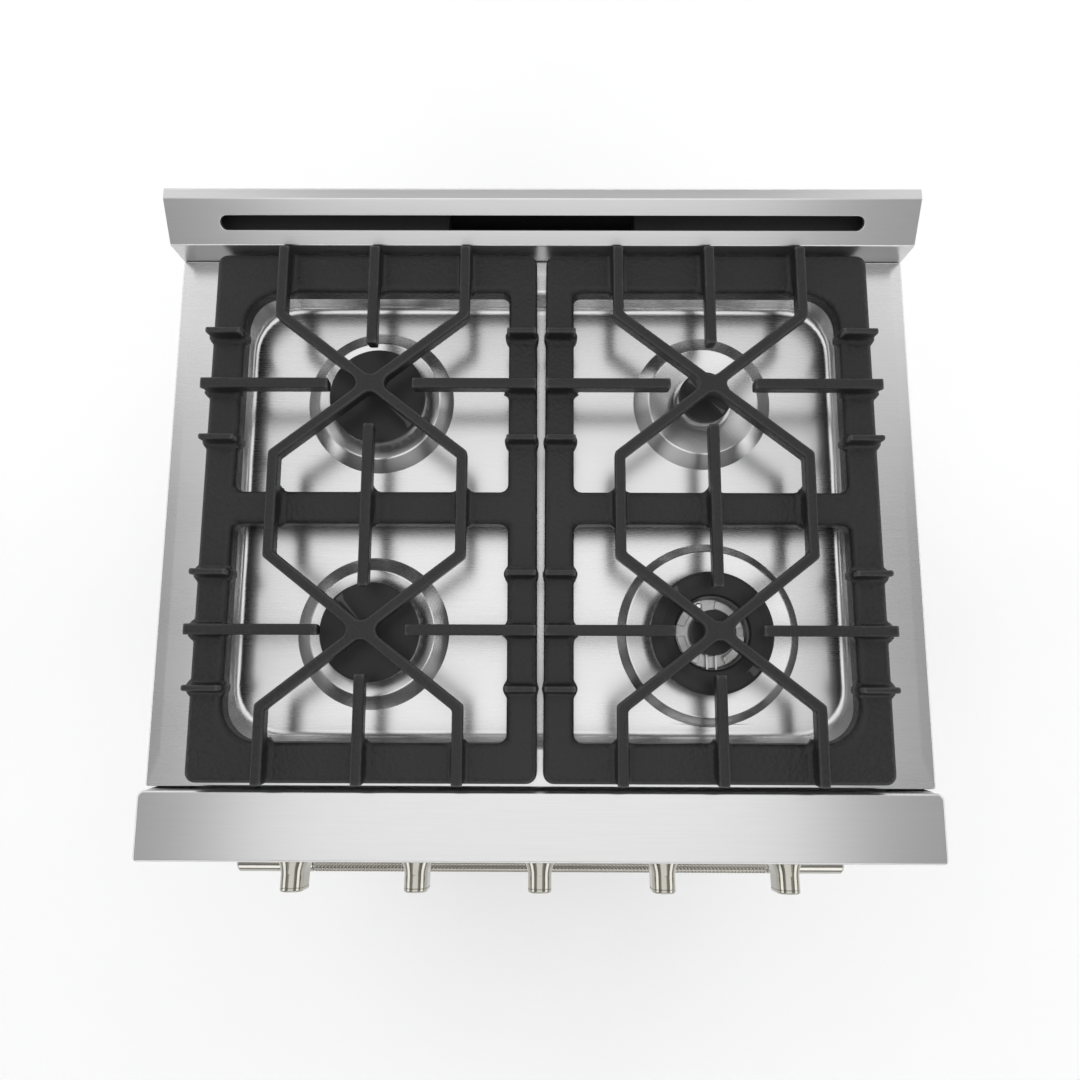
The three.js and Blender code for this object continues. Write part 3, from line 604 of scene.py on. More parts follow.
def ported(ports, depth, low, high, inside):
    """Radius change that cuts evenly spaced flame slots between two heights, outside a radius."""
    def shape(angle, r, z):
        step = round(angle / (2 * math.pi) * ports * STEPS_PER_PORT) % STEPS_PER_PORT
        return r - depth if low < z < high and r > inside and step < 2 else r
    return shape


def make_burner(burner):
    """A ported aluminium head in its ring; the dual one has an inner crown and core inside, without ports.
    """
    _, _, neck, ports = BURNERS[burner]
    x, y, cap, cap_low, cap_high = cap_of(burner)
    here = Matrix.Translation((x, y, 0))
    base = SEAT - 24
    rim = cap - 4
    top = cap_low - 0.3
    foot = [(neck - 9, base), (neck, base), (neck, SEAT), (rim + 2.6, SEAT), (rim + 2.6, SEAT + 1.4)]
    side = [(rim + 0.4, SEAT + 3.4)]
    side += [(rim, z) for z in (SEAT + 4.4, SEAT + 4.5, top - 1.3, top - 1.2, top)]
    middle = [(neck - 9, top)]
    body = f"burner_cap_{burner}"
    casting = cap_profile(cap, cap_low, cap_high)
    if burner == "front_right":
        centre = f"burner_cap_{burner}_centre"
        hole, core = 37.5, centre_mm(centre)[1][0] - 3
        core_top = box_mm(centre)[0].z - 0.3
        middle = [(hole, top), (hole - 1.5, top - 1), (hole - 2.5, SEAT + 7), (hole - 4, SEAT + 5.5),
                  (core + 4, SEAT + 5.5), (core + 1, SEAT + 7.5), (core, SEAT + 10)]
        middle += [(core, core_top - below) for below in (3, 2.9, 1.1, 1, 0)] + [(8, core_top), (8, base)]
        body += "_ring"
        inner = cap - 24.5
        ring = [((inner, cap_low), 0.6), ((cap - 0.8, cap_low), 0.6), ((cap, cap_low + 1), 0.6),
                ((cap, cap_high - 1.3), 1.4), ((cap - 3, cap_high - 0.4), 1.5), ((cap - 11, cap_high), 6),
                ((inner + 2, cap_high - 0.9), 1.2), ((inner, cap_high - 2), 1.0)]
        casting = soften(ring, closed=True)
        casting.append(casting[0])
    slots = ported(ports, 2.6, SEAT + 4.45, top - 1.25, rim - 1)
    turned(f"burner_body_{burner}", foot + side + middle + foot[:1], ports * STEPS_PER_PORT, here, ALUMINIUM,
           "chassis", "burner_aluminium", [f"burner_head_{burner}"], shape=slots, sharp=35, weld=0.001)
    turned(f"{body}_casting", casting, 112, here, CAP, body, "cap_enamel", [body], weld=0.001)


def cap_profile(radius, low, high):
    """A burner cap with a very slightly crowned top and a softly rounded rim."""
    foot = [(0, low), ((radius - 0.8, low), 0.6), ((radius, low + 1), 0.6)]
    edge = [((radius, high - 1.1), 1.2), ((radius - 2.2, high - 0.5), 1.5)]
    return soften(foot + edge + [(radius - 9, high - 0.15), (0, high)])


def make_centre_burner():
    """The dual burner's small cap and what shows in the gap round it: steps, two ribs and a screw."""
    body = "burner_cap_front_right_centre"
    (x, y, _), (radius, _, _) = centre_mm(body)
    low, high = box_mm(body)
    profile = cap_profile(radius, low.z, high.z)
    here = Matrix.Translation((x, y, 0))
    turned(f"{body}_casting", profile, 96, here, CAP, body, "cap_enamel", [body], weld=0.001)

    level = SEAT + 5.5
    bm = bmesh.new()
    low_step, high_step = (25, 2.2), (26, 4.4)
    for middle, half, (inner, height) in ((45, 34, low_step), (135, 30, high_step), (215, 30, low_step),
                                          (325, 30, high_step)):
        turns = [math.radians(middle - half + 2 * half * k / 14) for k in range(15)]
        loop = []
        for radius, way in ((inner + 8, 1), (inner, -1)):
            loop += [(x + radius * math.cos(a), y + radius * math.sin(a)) for a in turns[::way]]
        prism(bm, loop, level - 0.5, level + height)
    rib_half = 1.2
    for offset in (-4.5, 4.5):
        rib = x + offset
        block(bm, (rib - rib_half, rib + rib_half), (y - 36, y - 19), (level - 1, level + 6.5))
    place("burner_gap_steps", bm, ALUMINIUM, "chassis", "burner_aluminium", bevel=0.5)

    turn, out, head = math.radians(112), 29, 3.4
    spot = Matrix.Translation((x + out * math.cos(turn), y + out * math.sin(turn), 0))
    dome = soften([(0, level + 6.4), ((head, level + 6.2), 1.6), (head, level + 2)])
    turned("burner_gap_screw", dome, 32, spot, CHROME, "chassis", "burner_aluminium")


def make_igniter(burner):
    """A ribbed ceramic rod with a wire electrode on top."""
    node = f"igniter_{burner}"
    (x, y, _), _ = centre_mm(node)
    low, high = box_mm(node)
    here = Matrix.Translation((x, y, 0))
    top, radius, waist, wire = high.z - 2.4, 2.9, 2.4, 0.9
    profile = [(0, low.z), (radius, low.z)]
    for k in range(4):
        z = top - 7 + k * 1.6
        profile += [(radius, z), (waist, z + 0.3), (waist, z + 0.8), (radius, z + 1.1)]
    profile += [(radius, top - 0.5), (waist, top), (0, top)]
    turned(f"igniter_rod_{burner}", profile, 28, here, CERAMIC, "chassis", "igniter_ceramic", [node])
    profile = [(0, top - 1), (wire, top - 1), (wire, high.z - 0.5), (0.5, high.z), (0, high.z)]
    turned(f"igniter_tip_{burner}", profile, 16, here, CHROME, "chassis", "igniter_ceramic")


# ---------------------------------------------------------------- grates
# Heights are above the rim of the cooktop.
BAR_HALF, BAR_TOP, BAR_BOTTOM = 5.25, 43, 25
FRAME_TOP, FRAME_BOTTOM, CHANNEL_TOP, FRAME_WALL = 26, 5, 21, 4
GRATE_INNER, GRATE_OUTER = 4.7, 332.2
# Where the frame's windows begin and end across, and how far they stay from its front and rear.
WINDOW_INNER, WINDOW_OUTER = GRATE_INNER + 28.3, GRATE_OUTER - 31.5
FRAME_FRONT, FRAME_REAR = 37.4, 40.6
ROLL = 5.5
BEND_X, BEND_REACH, TIP = 91.4, 71.5, 41
TAB_OFFSET, TAB_HALF = 54.5, 3.0
SMALL_ROUND = 3.5


def drafted(bm, loop_at, levels):
    """A closed solid whose outline changes with height; loop_at(inset) gives the outline."""
    capped(bm, [at_z(loop_at(inset), RIM + z) for inset, z in levels])


def strip_loop(a, b, half):
    """Outline of a straight bar between two points, from its end faces."""
    along = (Vector(b) - Vector(a)).normalized()
    side = Vector((-along.y, along.x))

    def loop(inset):
        width, back = side * (half - inset), along * min(inset, 1.2)
        start, end = Vector(a) + back, Vector(b) - back
        return [tuple(start - width), tuple(end - width), tuple(end + width), tuple(start + width)]
    return loop


BAR_LEVELS = [(1.1, BAR_BOTTOM), (0.5, BAR_BOTTOM + 4)]
BAR_LEVELS += [(0, BAR_TOP - 1.6), (0.5, BAR_TOP - 0.5), (1.6, BAR_TOP)]


def grate_bar(bm, points):
    """One bar of the cooking surface along a bent centre line."""
    for a, b in zip(points, points[1:]):
        drafted(bm, strip_loop(a, b, BAR_HALF), BAR_LEVELS)
    for corner in points[1:-1]:
        drafted(bm, lambda inset, c=corner: circle(BAR_HALF - inset, 24, c), BAR_LEVELS)


FLARE_LEVELS = [(inset, FRAME_TOP + z) for inset, z in (
    (-4.2, -3), (-3.9, -0.4), (-2.4, 0.8), (-1.2, 2.2), (-0.5, 4.2), (0, 7), (1, 9))]
FLARE_SET_BACK = 5
GUSSET_LEVELS = [(2, 12), (0.5, 15), (0, 18), (0, FRAME_TOP - 3), (0.5, FRAME_TOP - 1.2), (2, FRAME_TOP)]
TAB_END_LEVELS = [(1.5, 15), (0, 17), (0, FRAME_TOP - 0.5), (0.6, FRAME_TOP + 0.6), (2, FRAME_TOP + 1.4)]
PAD_LEVELS = [(1.5, 0.4), (0, 2), (0, CHANNEL_TOP + 1)]


def foot(bm, a, b, half, edges, wide=6):
    """Where a bar crosses the frame: side walls that flare out onto the frame's top, and hollow rounds
    that widen the foot at the frame's edges. edges holds (distance from a, way the gusset points)."""
    a, b = Vector(a), Vector(b)
    drafted(bm, strip_loop(a, b, half), BAR_LEVELS)
    along = (b - a).normalized()
    side = Vector((-along.y, along.x))
    set_back = along * FLARE_SET_BACK
    drafted(bm, strip_loop(a + set_back, b - set_back, half), FLARE_LEVELS)
    for distance, way in edges:
        for across in (-1, 1):
            corner = a + along * distance + side * across * (half - 0.3)
            corner_fillet(bm, corner, side * across, along * way, wide, GUSSET_LEVELS)


def corner_fillet(bm, corner, first, second, radius, levels):
    """Fills the angle between two edges with a hollow round, reaching back past the corner."""
    first, second = first.normalized(), second.normalized()
    half = math.acos(max(-1, min(1, first.dot(second)))) / 2
    reach = radius / math.tan(half)
    away = (first + second).normalized()
    centre = corner + away * radius / math.sin(half)
    start, end = corner + first * reach, corner + second * reach
    begin = start - centre
    turn = begin.angle_signed(end - centre)
    steps, overlap = 8, 3
    arc = [centre + Matrix.Rotation(-turn * k / steps, 2) @ begin for k in range(steps + 1)]
    back = corner - away * overlap

    def loop(inset):
        return [tuple(back)] + [tuple(p - away * inset) for p in arc]
    drafted(bm, loop, levels)


def frame_shell(bm, front_y, rear_y, cross):
    """The cast frame: an open channel below, rolled edges above, and two windows."""
    small, large, outer_corner = 8, 35, 10
    windows = [((front_y + FRAME_FRONT, cross[0]), [small, large, small, small]),
               ((cross[1], rear_y - FRAME_REAR), [small, small, large, small])]

    def outer(inset):
        xs, ys = (GRATE_INNER, GRATE_OUTER), (front_y, rear_y)
        return grown(xs, ys, max(outer_corner - inset, 3), -inset, 8, 6)

    def window(inset, number):
        ys, radii = windows[number]
        return grown((WINDOW_INNER, WINDOW_OUTER), ys, [max(r - inset, 2) for r in radii], inset, 8, 6)

    levels = [(FRAME_WALL, CHANNEL_TOP), (FRAME_WALL, FRAME_BOTTOM)]
    levels += [(0.8, FRAME_BOTTOM), (0, FRAME_BOTTOM + 1)]
    levels += [(inset, FRAME_TOP - drop) for inset, drop in quarter_round(ROLL, ROLL * 0.8)]
    edges = [stack(bm, [at_z(outer(inset), RIM + z) for inset, z in levels])]
    for number in range(2):
        edges.append(stack(bm, [at_z(window(inset, number), RIM + z) for inset, z in levels]))
    fill(bm, *[low for low, _ in edges])
    fill(bm, *[high for _, high in edges])


def crossing_fillets(bm, middle):
    """Hollow rounds where the two bent bars cross over a burner."""
    slope = math.atan2(BEND_REACH, BEND_X)
    right, up = Vector((math.cos(slope), math.sin(slope))), Vector((-math.cos(slope), math.sin(slope)))
    mirror = Vector((right.x, -right.y))
    sideways, upward = Vector((BAR_HALF / math.sin(slope), 0)), Vector((0, BAR_HALF / math.cos(slope)))
    for offset, second in ((sideways, mirror), (upward, up)):
        for way in (1, -1):
            corner_fillet(bm, middle + way * offset, way * right, way * second, 9, BAR_LEVELS)


def row_tabs(bm, row, inner_end, outer_end):
    """Short tabs with T-shaped ends, two on each side of a burner."""
    for way in (-1, 1):
        tab = row + way * TAB_OFFSET
        ends = WINDOW_INNER + 1.5, outer_end - 1.5
        for a, b in ((inner_end, ends[0]), (WINDOW_OUTER - 2, ends[1])):
            foot(bm, (a, tab), (b, tab), TAB_HALF, [(0, 1), (b - a, -1)], SMALL_ROUND)
        for x, width in zip(ends, (3.4, 4.4)):
            drafted(bm, strip_loop((x - width, tab), (x, tab), TAB_HALF + 2.2), TAB_END_LEVELS)


def grate_mesh():
    """The right-hand grate: frame, bent bars, straight bars and tabs, cast as one body."""
    low, high = box_mm("grate_right")
    front_y, rear_y = low.y, high.y
    centre_x, front_row, _, _, _ = cap_of("front_right")
    rows = front_row, cap_of("rear_right")[1]
    cross = FRONT + 252, FRONT + 284
    bm = bmesh.new()
    frame_shell(bm, front_y, rear_y, cross)

    ends = front_y - 0.5, rear_y + 0.5
    for way in (-1, 1):
        near, far = centre_x + way * BEND_X, centre_x - way * BEND_X
        grate_bar(bm, [
            (near, ends[1]), (near, rows[1] + BEND_REACH), (far, rows[1] - BEND_REACH),
            (far, rows[0] + BEND_REACH), (near, rows[0] - BEND_REACH), (near, ends[0]),
        ])
    for a, b in ((ends[1], rows[1] + TIP), (rows[1] - TIP, rows[0] + TIP), (rows[0] - TIP, ends[0])):
        grate_bar(bm, [(centre_x, a), (centre_x, b)])
    inner_end, outer_end = GRATE_INNER + 0.3, GRATE_OUTER + 3
    for row in rows:
        grate_bar(bm, [(inner_end, row), (centre_x - TIP, row)])
        grate_bar(bm, [(centre_x + TIP, row), (outer_end, row)])
        foot(bm, (inner_end, row), (WINDOW_INNER, row), BAR_HALF, [(WINDOW_INNER - inner_end, 1)])
        outer_edges = [(0, -1), (outer_end - WINDOW_OUTER, -1)]
        foot(bm, (WINDOW_OUTER, row), (outer_end, row), BAR_HALF, outer_edges, SMALL_ROUND)
        row_tabs(bm, row, inner_end, outer_end)
        crossing_fillets(bm, Vector((centre_x, row)))
    window_front, window_rear = front_y + FRAME_FRONT, rear_y - FRAME_REAR
    for x in (centre_x - BEND_X, centre_x, centre_x + BEND_X):
        foot(bm, (x, ends[0]), (x, window_front), BAR_HALF, [(window_front - ends[0], 1)])
        foot(bm, (x, window_rear), (x, ends[1]), BAR_HALF, [(0, -1)])
        foot(bm, (x, cross[0]), (x, cross[1]), BAR_HALF, [(0, -1), (cross[1] - cross[0], 1)])
    for x in (GRATE_INNER + 14, GRATE_OUTER - 14):
        for y in (front_y + 14, sum(cross) / 2, rear_y - 14):
            xs, ys = (x - 9, x + 9), (y - 5, y + 5)
            drafted(bm, lambda inset, xs=xs, ys=ys: grown(xs, ys, 2, -inset, 6), PAD_LEVELS)
    voxel = 1.25
    mesh = settle(bm, "grate_casting", REMESH={"mode": "VOXEL", "voxel_size": voxel * MM},
                  SMOOTH={"iterations": 3, "factor": 0.5}, DECIMATE={"ratio": 0.28})
    taper, reach = 1.9 * MM, 120
    for vertex in mesh.vertices:
        x, y = vertex.co.x / MM, vertex.co.y / MM
        vertex.co.x -= taper * (rear_y - y) / (rear_y - front_y) * max(1 - x / reach, 0)
    return mesh


def make_grates():
    right = grate_mesh()
    left = right.copy()
    left.transform(Matrix.Scale(-1, 4, (1, 0, 0)))
    left.flip_normals()
    for side, mesh in (("right", right), ("left", left)):
        mesh.name = f"grate_casting_{side}"
        body = f"grate_{side}"
        put(mesh.name, mesh, GRATE, body, "grate_enamel", [body], sharp=70)


make_cooktop()
for site in BURNERS:
    make_burner(site)
    make_igniter(site)
make_centre_burner()
make_grates()


# ---------------------------------------------------------------- sheet metal
def folded_sheet(before, after, x0, x1, holes, lip, origin, ends=True):
    """A sheet folded along X round one flat face whose holes have turned-in lips.
    before and after are the (y, z) paths up to that face and on from it; a hole is a function of its growth
    that gives a loop in (x, distance up the face from origin)."""
    bm = bmesh.new()
    along = (Vector(after[0]) - Vector(before[-1])).normalized()
    outward = Vector((-along.y, along.x))

    def on_face(loop, depth):
        return [(x, *(Vector(origin) + along * up - outward * depth)) for x, up in loop]

    def side(path):
        return [ring_of(bm, [(x, y, z) for x in (x0, x1)]) for y, z in path]

    lower, upper = side(before), side(after)
    for path in (lower, upper):
        for a, b in zip(path, path[1:]):
            bm.faces.new((a[0], a[1], b[1], b[0]))
    inner = []
    for hole in holes:
        turn_in = (0.7, 0), (0.2, 0.2), (0, 0.7), (0, lip)
        inner.append(stack(bm, [on_face(hole(grow), depth) for grow, depth in turn_in])[0])
    fill(bm, [lower[-1][0], lower[-1][1], upper[0][1], upper[0][0]], *inner)
    for end in (0, 1) if ends else ():
        bm.faces.new([pair[end] for pair in lower + upper])
    return bm


def make_back_guard():
    low, high = box_mm("back_guard")
    shoulder, run, bend = (low.y, RIM + 33), 37.3, 2.8
    brow = (low.y + run, high.z)
    before = soften([(low.y, low.z), (shoulder, bend), brow], steps=5)[:-1]
    after = soften([shoulder, (brow, bend), ((high.y, high.z), bend), (high.y, low.z)], steps=5)[1:]

    def slot(grow):
        return grown((-324.5, 324.5), (14.6, 28.6), 6.9 + grow, grow, 8)

    bm = folded_sheet(before, after, -HALF, HALF, [slot], 5, shoulder)
    place("back_guard_sheet", bm, STEEL, "chassis", "stainless_panel", ["back_guard"],
          facing=(0, -1, 0.5), thickness=1.2, bevel=0.7)


def make_ledge():
    low, high = box_mm("front_ledge")
    edge = 2.4

    def loop(inset):
        corners = [max(r - inset, 1) for r in (4, 4, 7, 7)]
        return grown((low.x, high.x), (low.y, high.y), corners, -inset, 7)
    levels = [(11, low.z), (1.4, low.z), (0.4, low.z + 0.5), (0, low.z + 1.5)]
    levels += [(inset, high.z - drop) for inset, drop in quarter_round(edge, edge)]
    bm = bmesh.new()
    _, top = stack(bm, [at_z(loop(inset), z) for inset, z in levels])
    bm.faces.new(top)
    place("front_ledge_sheet", bm, STEEL, "chassis", "stainless_panel", ["front_ledge"],
          facing=(0, 0, 1), thickness=1.2)


KNOB_Z, PANEL_TILT, PANEL_OUT = 831, math.radians(6), 56
CONTROLS = range(1, 6)


def panel_y(z):
    return FRONT - PANEL_OUT + (z - KNOB_Z) * math.tan(PANEL_TILT)


def control(number):
    """Frame of one control: its Z runs out of the panel and its Y up the panel."""
    x = centre_mm(f"valve_stem_{number}")[0][0]
    turn = Matrix.Rotation(math.pi / 2 - PANEL_TILT, 4, "X")
    return Matrix.Translation((x, panel_y(KNOB_Z), KNOB_Z)) @ turn


def make_control_panel():
    low, high = box_mm("control_panel")
    top, bottom = (panel_y(high.z), high.z), (panel_y(low.z), low.z)
    before = soften([(high.y, low.z), (bottom, 3), top], steps=5)[:-1]
    after = soften([bottom, (top, 1.6), (high.y, high.z)])[1:]
    level = (KNOB_Z - low.z) / math.cos(PANEL_TILT)
    holes = []
    for number in CONTROLS:
        x = control(number).translation.x
        holes.append(lambda grow, x=x: circle(7.5 + grow, 32, (x, level)))
    bm = folded_sheet(before, after, low.x, high.x, holes, 3, bottom)
    place("control_panel_sheet", bm, STEEL, "chassis", "stainless_panel", ["control_panel"],
          facing=(0, -1, 0), thickness=1.2, bevel=0.7)


def make_bezel(number):
    inner, outer, foot = 25.3, 29.6, 0.1
    rise = [(inner, foot), ((inner, 2.2), 0.5), ((26.6, 3.0), 0.8), ((29.0, 2.4), 1.0), (outer, foot)]
    profile = soften(rise, steps=3)
    turned(f"knob_bezel_{number}", profile + profile[:1], 96, control(number), BRIGHT_NICKEL,
           "chassis", "knob_nickel", weld=0.001)


def make_marks(number):
    """Plain marks round a dial: a ring at off, then strokes that grow smaller round it."""
    low, high = 0.05, 0.3
    ring_radius, ring_inner, ring_outer = 36, 2.2, 3.8
    strokes, stroke_start, stroke_step = 9, 33, 27
    bm = bmesh.new()
    off = [(ring_inner, low), (ring_inner, high), (ring_outer, high), (ring_outer, low), (ring_inner, low)]
    lathe(bm, off, 24, Matrix.Translation((0, ring_radius, 0)))
    for stroke in range(1, strokes + 1):
        left = strokes + 1 - stroke
        half, reach = 0.35 + 0.09 * left, 2 + 0.35 * left
        before = len(bm.verts)
        block(bm, (stroke_start, stroke_start + reach), (-half, half), (low, high))
        turn = Matrix.Rotation(math.radians(90 - stroke_step * stroke), 4, "Z")
        bmesh.ops.transform(bm, matrix=turn, verts=list(bm.verts)[before:])
    bmesh.ops.transform(bm, matrix=control(number), verts=bm.verts)
    place(f"dial_marks_{number}", bm, INK, "chassis", "knob_nickel", weld=0.0001)


def knob_section(radius, straight, z):
    """Obround with half-round ends up and down, whose lower tip corner is rounded away."""
    count, corner = 72, 8
    points = []
    for k in range(count):
        angle = 2 * math.pi * (k + 0.5) / count
        y = radius * math.sin(angle) + math.copysign(straight, math.sin(angle))
        below = min(max(-y - 13, 0), corner)
        share = min(max((z - 34) / 12, 0), 1)
        drop = share * (corner - math.sqrt(corner * corner - below * below))
        points.append((radius * math.cos(angle), y, z - drop))
    return points


def make_knobs():
    """A round foot that draws in to a flat grip with a line round its tip, a slot and a bore."""
    base_z, tip_z, side, tall, base = 3.6, 46, 11.25, 21, 24
    foot_top, flare, flare_steps, edge = base_z + 4, 23, 14, 2.0
    slot_half, slot_depth, bore, bore_top = 2.2, 1.7, 4.4, 24
    foot = ((1.2, base_z), (0.3, base_z + 0.4), (0, base_z + 1.2), (0, foot_top))
    rings = [knob_section(base - inset, 0, z) for inset, z in foot]
    for k in range(1, flare_steps + 1):
        t = k / flare_steps
        radius = side + (base - side) * (1 - t) ** 2
        rings.append(knob_section(radius, base - (base - tall) * t - radius, foot_top + flare * t))
    grip = [(0, 34), (0, tip_z - 4.3), (0.5, tip_z - 4.0), (0.5, tip_z - 3.6), (0, tip_z - 3.3)]
    grip += [(inset, tip_z - drop) for inset, drop in quarter_round(edge, edge)]
    grip += [(inset, tip_z - drop) for inset, drop in ((3.0, 0.05), (3.6, 0.35), (7, 0.4), (10.4, 0.4))]
    rings += [knob_section(side - inset, tall - side, z) for inset, z in grip]
    bm, cuts = bmesh.new(), bmesh.new()
    capped(bm, rings)
    slot = rounded((-slot_half, slot_half), (10, tip_z - 15.5), slot_half - 0.1)
    prism(cuts, slot, tall - slot_depth, base + 2, at_y)
    prism(cuts, circle(bore, 24), base_z - 2, bore_top)
    mesh = carve(bm, cuts, "knob")
    for number in CONTROLS:
        own = mesh.copy()
        own.transform(Matrix.Scale(MM, 4) @ control(number) @ Matrix.Scale(1 / MM, 4))
        body = f"knob_{number}"
        put(f"{body}_body", own, NICKEL, body, "knob_nickel", [body], sharp=40)


# ---------------------------------------------------------------- door
def along_x(x, y, z):
    """Turns a lathe's Z axis to point along +X from a place."""
    return Matrix.Translation((x, y, z)) @ Matrix.Rotation(math.pi / 2, 4, "Y")


def make_grip(reach, y, z, radius):
    """A knurled bar: every second vertex stands out, and each diamond folds along its ridge."""
    pitch, around = 3.9, 40
    steps = 2 * round(reach / pitch) * 2
    bm = bmesh.new()
    rows = []
    for i in range(steps + 1):
        x = -reach + 2 * reach * i / steps
        row = []
        for j in range(around):
            depth = 0.15 if (i + j) % 2 == 0 else 0.75
            r = radius - (0.9 if i in (0, steps) else depth)
            angle = 2 * math.pi * j / around
            row.append((x, y + r * math.cos(angle), z + r * math.sin(angle)))
        rows.append(ring_of(bm, row))
    for i, (a, b) in enumerate(zip(rows, rows[1:])):
        for j in range(around):
            k = (j + 1) % around
            if (i + j) % 2 == 0:
                halves = (a[j], a[k], b[j]), (a[k], b[k], b[j])
            else:
                halves = (a[j], a[k], b[k]), (a[j], b[k], b[j])
            for half in halves:
                bm.faces.new(half)
    bm.faces.new(rows[0])
    bm.faces.new(rows[-1])
    place("handle_knurled_grip", bm, KNURL, "door", "handle_nickel", ["door_handle_bar"], sharp=20)


def make_handle():
    """The grip, a plain rod end on each side of it, and the two stands with their flared feet."""
    (_, y, z), (half_length, _, radius) = centre_mm("door_handle_bar")
    reach = 247
    make_grip(reach, y, z, radius)
    length = half_length - reach
    rod = soften([(0, 0.6), ((radius - 0.6, 0.6), 0.4), ((radius, 1.6), 0.6), ((radius, length - 2.2), 1.2),
                  ((radius - 2.2, length), 1.2), (0, length)])
    for side, sign in SIDES:
        turn = Matrix.Scale(sign, 4, ALONG_X) @ along_x(reach, y, z)
        turned(f"handle_end_{side}", rod, 72, turn, BRIGHT_NICKEL, "door", "handle_nickel")
    for side, _ in SIDES:
        post = f"handle_post_{side}"
        (x, _, _), (neck, _, _) = centre_mm(post)
        face = box_mm(post)[1].y
        wide, length_out = neck + 2.2, face - y
        stand = soften([(0, 0), ((neck + 6, 0), 0.3), ((neck + 6, 2.4), 1.0), ((neck, 5), 3),
                        ((neck, length_out - 14), 6), ((wide, length_out - 8), 4), (wide, length_out - 2),
                        (0, length_out - 2)], steps=5)
        here = Matrix.Translation((x, face, z)) @ Matrix.Rotation(math.pi / 2, 4, "X")
        turned(f"handle_stand_{side}", stand, 64, here, BRIGHT_NICKEL, "door", "handle_nickel", [post])


def make_window():
    """Rolled bead round the door window and the dark fired border on its glass."""
    face = box_mm("door_outer_panel")[0].y
    low, high = box_mm("door_glass_outer")
    covered = 14
    xs, zs = (low.x + covered, high.x - covered), (low.z + covered, high.z - covered)
    bm = bmesh.new()
    path = at_y(rounded(xs, zs, 12, 8, 2), face - 0.3)
    sweep(bm, path, oval(2.6, 1.5, 14), closed=True, up=(0, -1, 0))
    place("window_bead", bm, STEEL, "door", "stainless_panel")
    bm = bmesh.new()
    back = high.y + 0.1
    outside, inside = [
        stack(bm, [at_y(grown(xs, zs, radius, grow, 8), y) for y in (back, back + 0.3)])
        for radius, grow in ((14, 8), (10, -26))
    ]
    for a, b in zip(outside, inside):
        bridge(bm, a, b)
    place("window_border", bm, INK, "door", "oven_glass")


# ---------------------------------------------------------------- oven
def tube(bm, path, radius, sides=10, closed=False):
    sweep(bm, path, circle(radius, sides), closed)


def make_rack(node):
    """A round rim, long wires from front to back and two cross wires under them."""
    low, high = box_mm(node)
    rail, wires = 2.8, 23
    (left, right), (front, rear) = (low.x + rail, high.x - rail), (low.y + rail, high.y - rail)
    z = low.z + rail + 0.1
    bm = bmesh.new()
    tube(bm, at_z(rounded((left, right), (front, rear), 14, 6, 2), z), rail, 12, closed=True)
    for k in range(1, wires + 1):
        x = low.x + (high.x - low.x) * k / (wires + 1)
        tube(bm, [(x, front, z + 1.2), (x, rear, z + 1.2)], 1.6)
    for share in (0.33, 0.67):
        y = low.y + (high.y - low.y) * share
        tube(bm, [(left, y, z - 0.6), (right, y, z - 0.6)], 1.8)
    place(f"{node}_wires", bm, CHROME, node, "rack_chrome", [node])


def make_gasket():
    """A flattened rope whose weave shows as small steps along it."""
    low, high = box_mm("door_gasket")
    half = 5
    path = grown((low.x, high.x), (low.z, high.z), 16, -half, 8, 40)
    bm = bmesh.new()
    sweep(bm, at_y(path, (low.y + high.y) / 2), oval(half, 2.1, 16), closed=True, up=(0, -1, 0),
          grow=lambda i: 1 - 0.06 * (i % 2))
    place("door_gasket_rope", bm, BRAID, "chassis", "gasket_braid", ["door_gasket"], sharp=80)


# ---------------------------------------------------------------- casing
def make_leg(name):
    """A levelling leg: a stamped foot, a rolled thread and a round socket above it."""
    (x, y, _), _ = centre_mm(name)
    top = box_mm(name)[1].z
    shank, thread_low, thread_high, pitch, step = 12, 17, 41, 2.5, 0.5
    profile = [(0, 0), (22, 0), (24.4, 0.8), (25, 3), (25, 8), (24, 10), (21, 13.5), (15, 15.5), (shank, 16)]
    profile += [(shank, thread_low + k * step) for k in range(int((thread_high - thread_low) / step) + 1)]
    profile += [(shank, 41.5), (18, 41.6), (19, 42.8)]
    profile += [(19, top - 3), (22.5, top - 2.4), (22.5, top), (0, top)]

    def thread(angle, r, z):
        if not thread_low <= z <= thread_high or r != shank:
            return r
        phase = (z / pitch - angle / (2 * math.pi)) % 1
        return shank - 1.1 * (1 - abs(2 * phase - 1))
    here = Matrix.Translation((x, y, 0))
    turned(f"{name}_turned", profile, 60, here, LEG_STEEL, "chassis", "stainless_leg", [name],
           shape=thread, sharp=40)


def hex_head(angle, r, z):
    """Turns the round of a screw head above its washer into a hexagon."""
    washer, recess, sector = 1.2, 1, math.pi / 3
    if z < washer or r < recess:
        return r
    return r * math.cos(sector / 2) / math.cos(angle % sector - sector / 2)


def make_screws(name, places, outward, material, slot):
    """Hexagon washer-head screws; outward is the turn from +Z to the way they face."""
    profile = [(0, -1), (5.2, -1), (5.4, 0.4), (4.9, 1.0), (4.3, 1.21), (4.3, 3.2), (3.7, 3.8), (1.5, 3.8),
               (0.8, 3.4), (0, 3.4)]
    bm = bmesh.new()
    for spot in places:
        lathe(bm, profile, 36, Matrix.Translation(spot) @ outward, hex_head)
    place(name, bm, material, "chassis", slot, sharp=25)


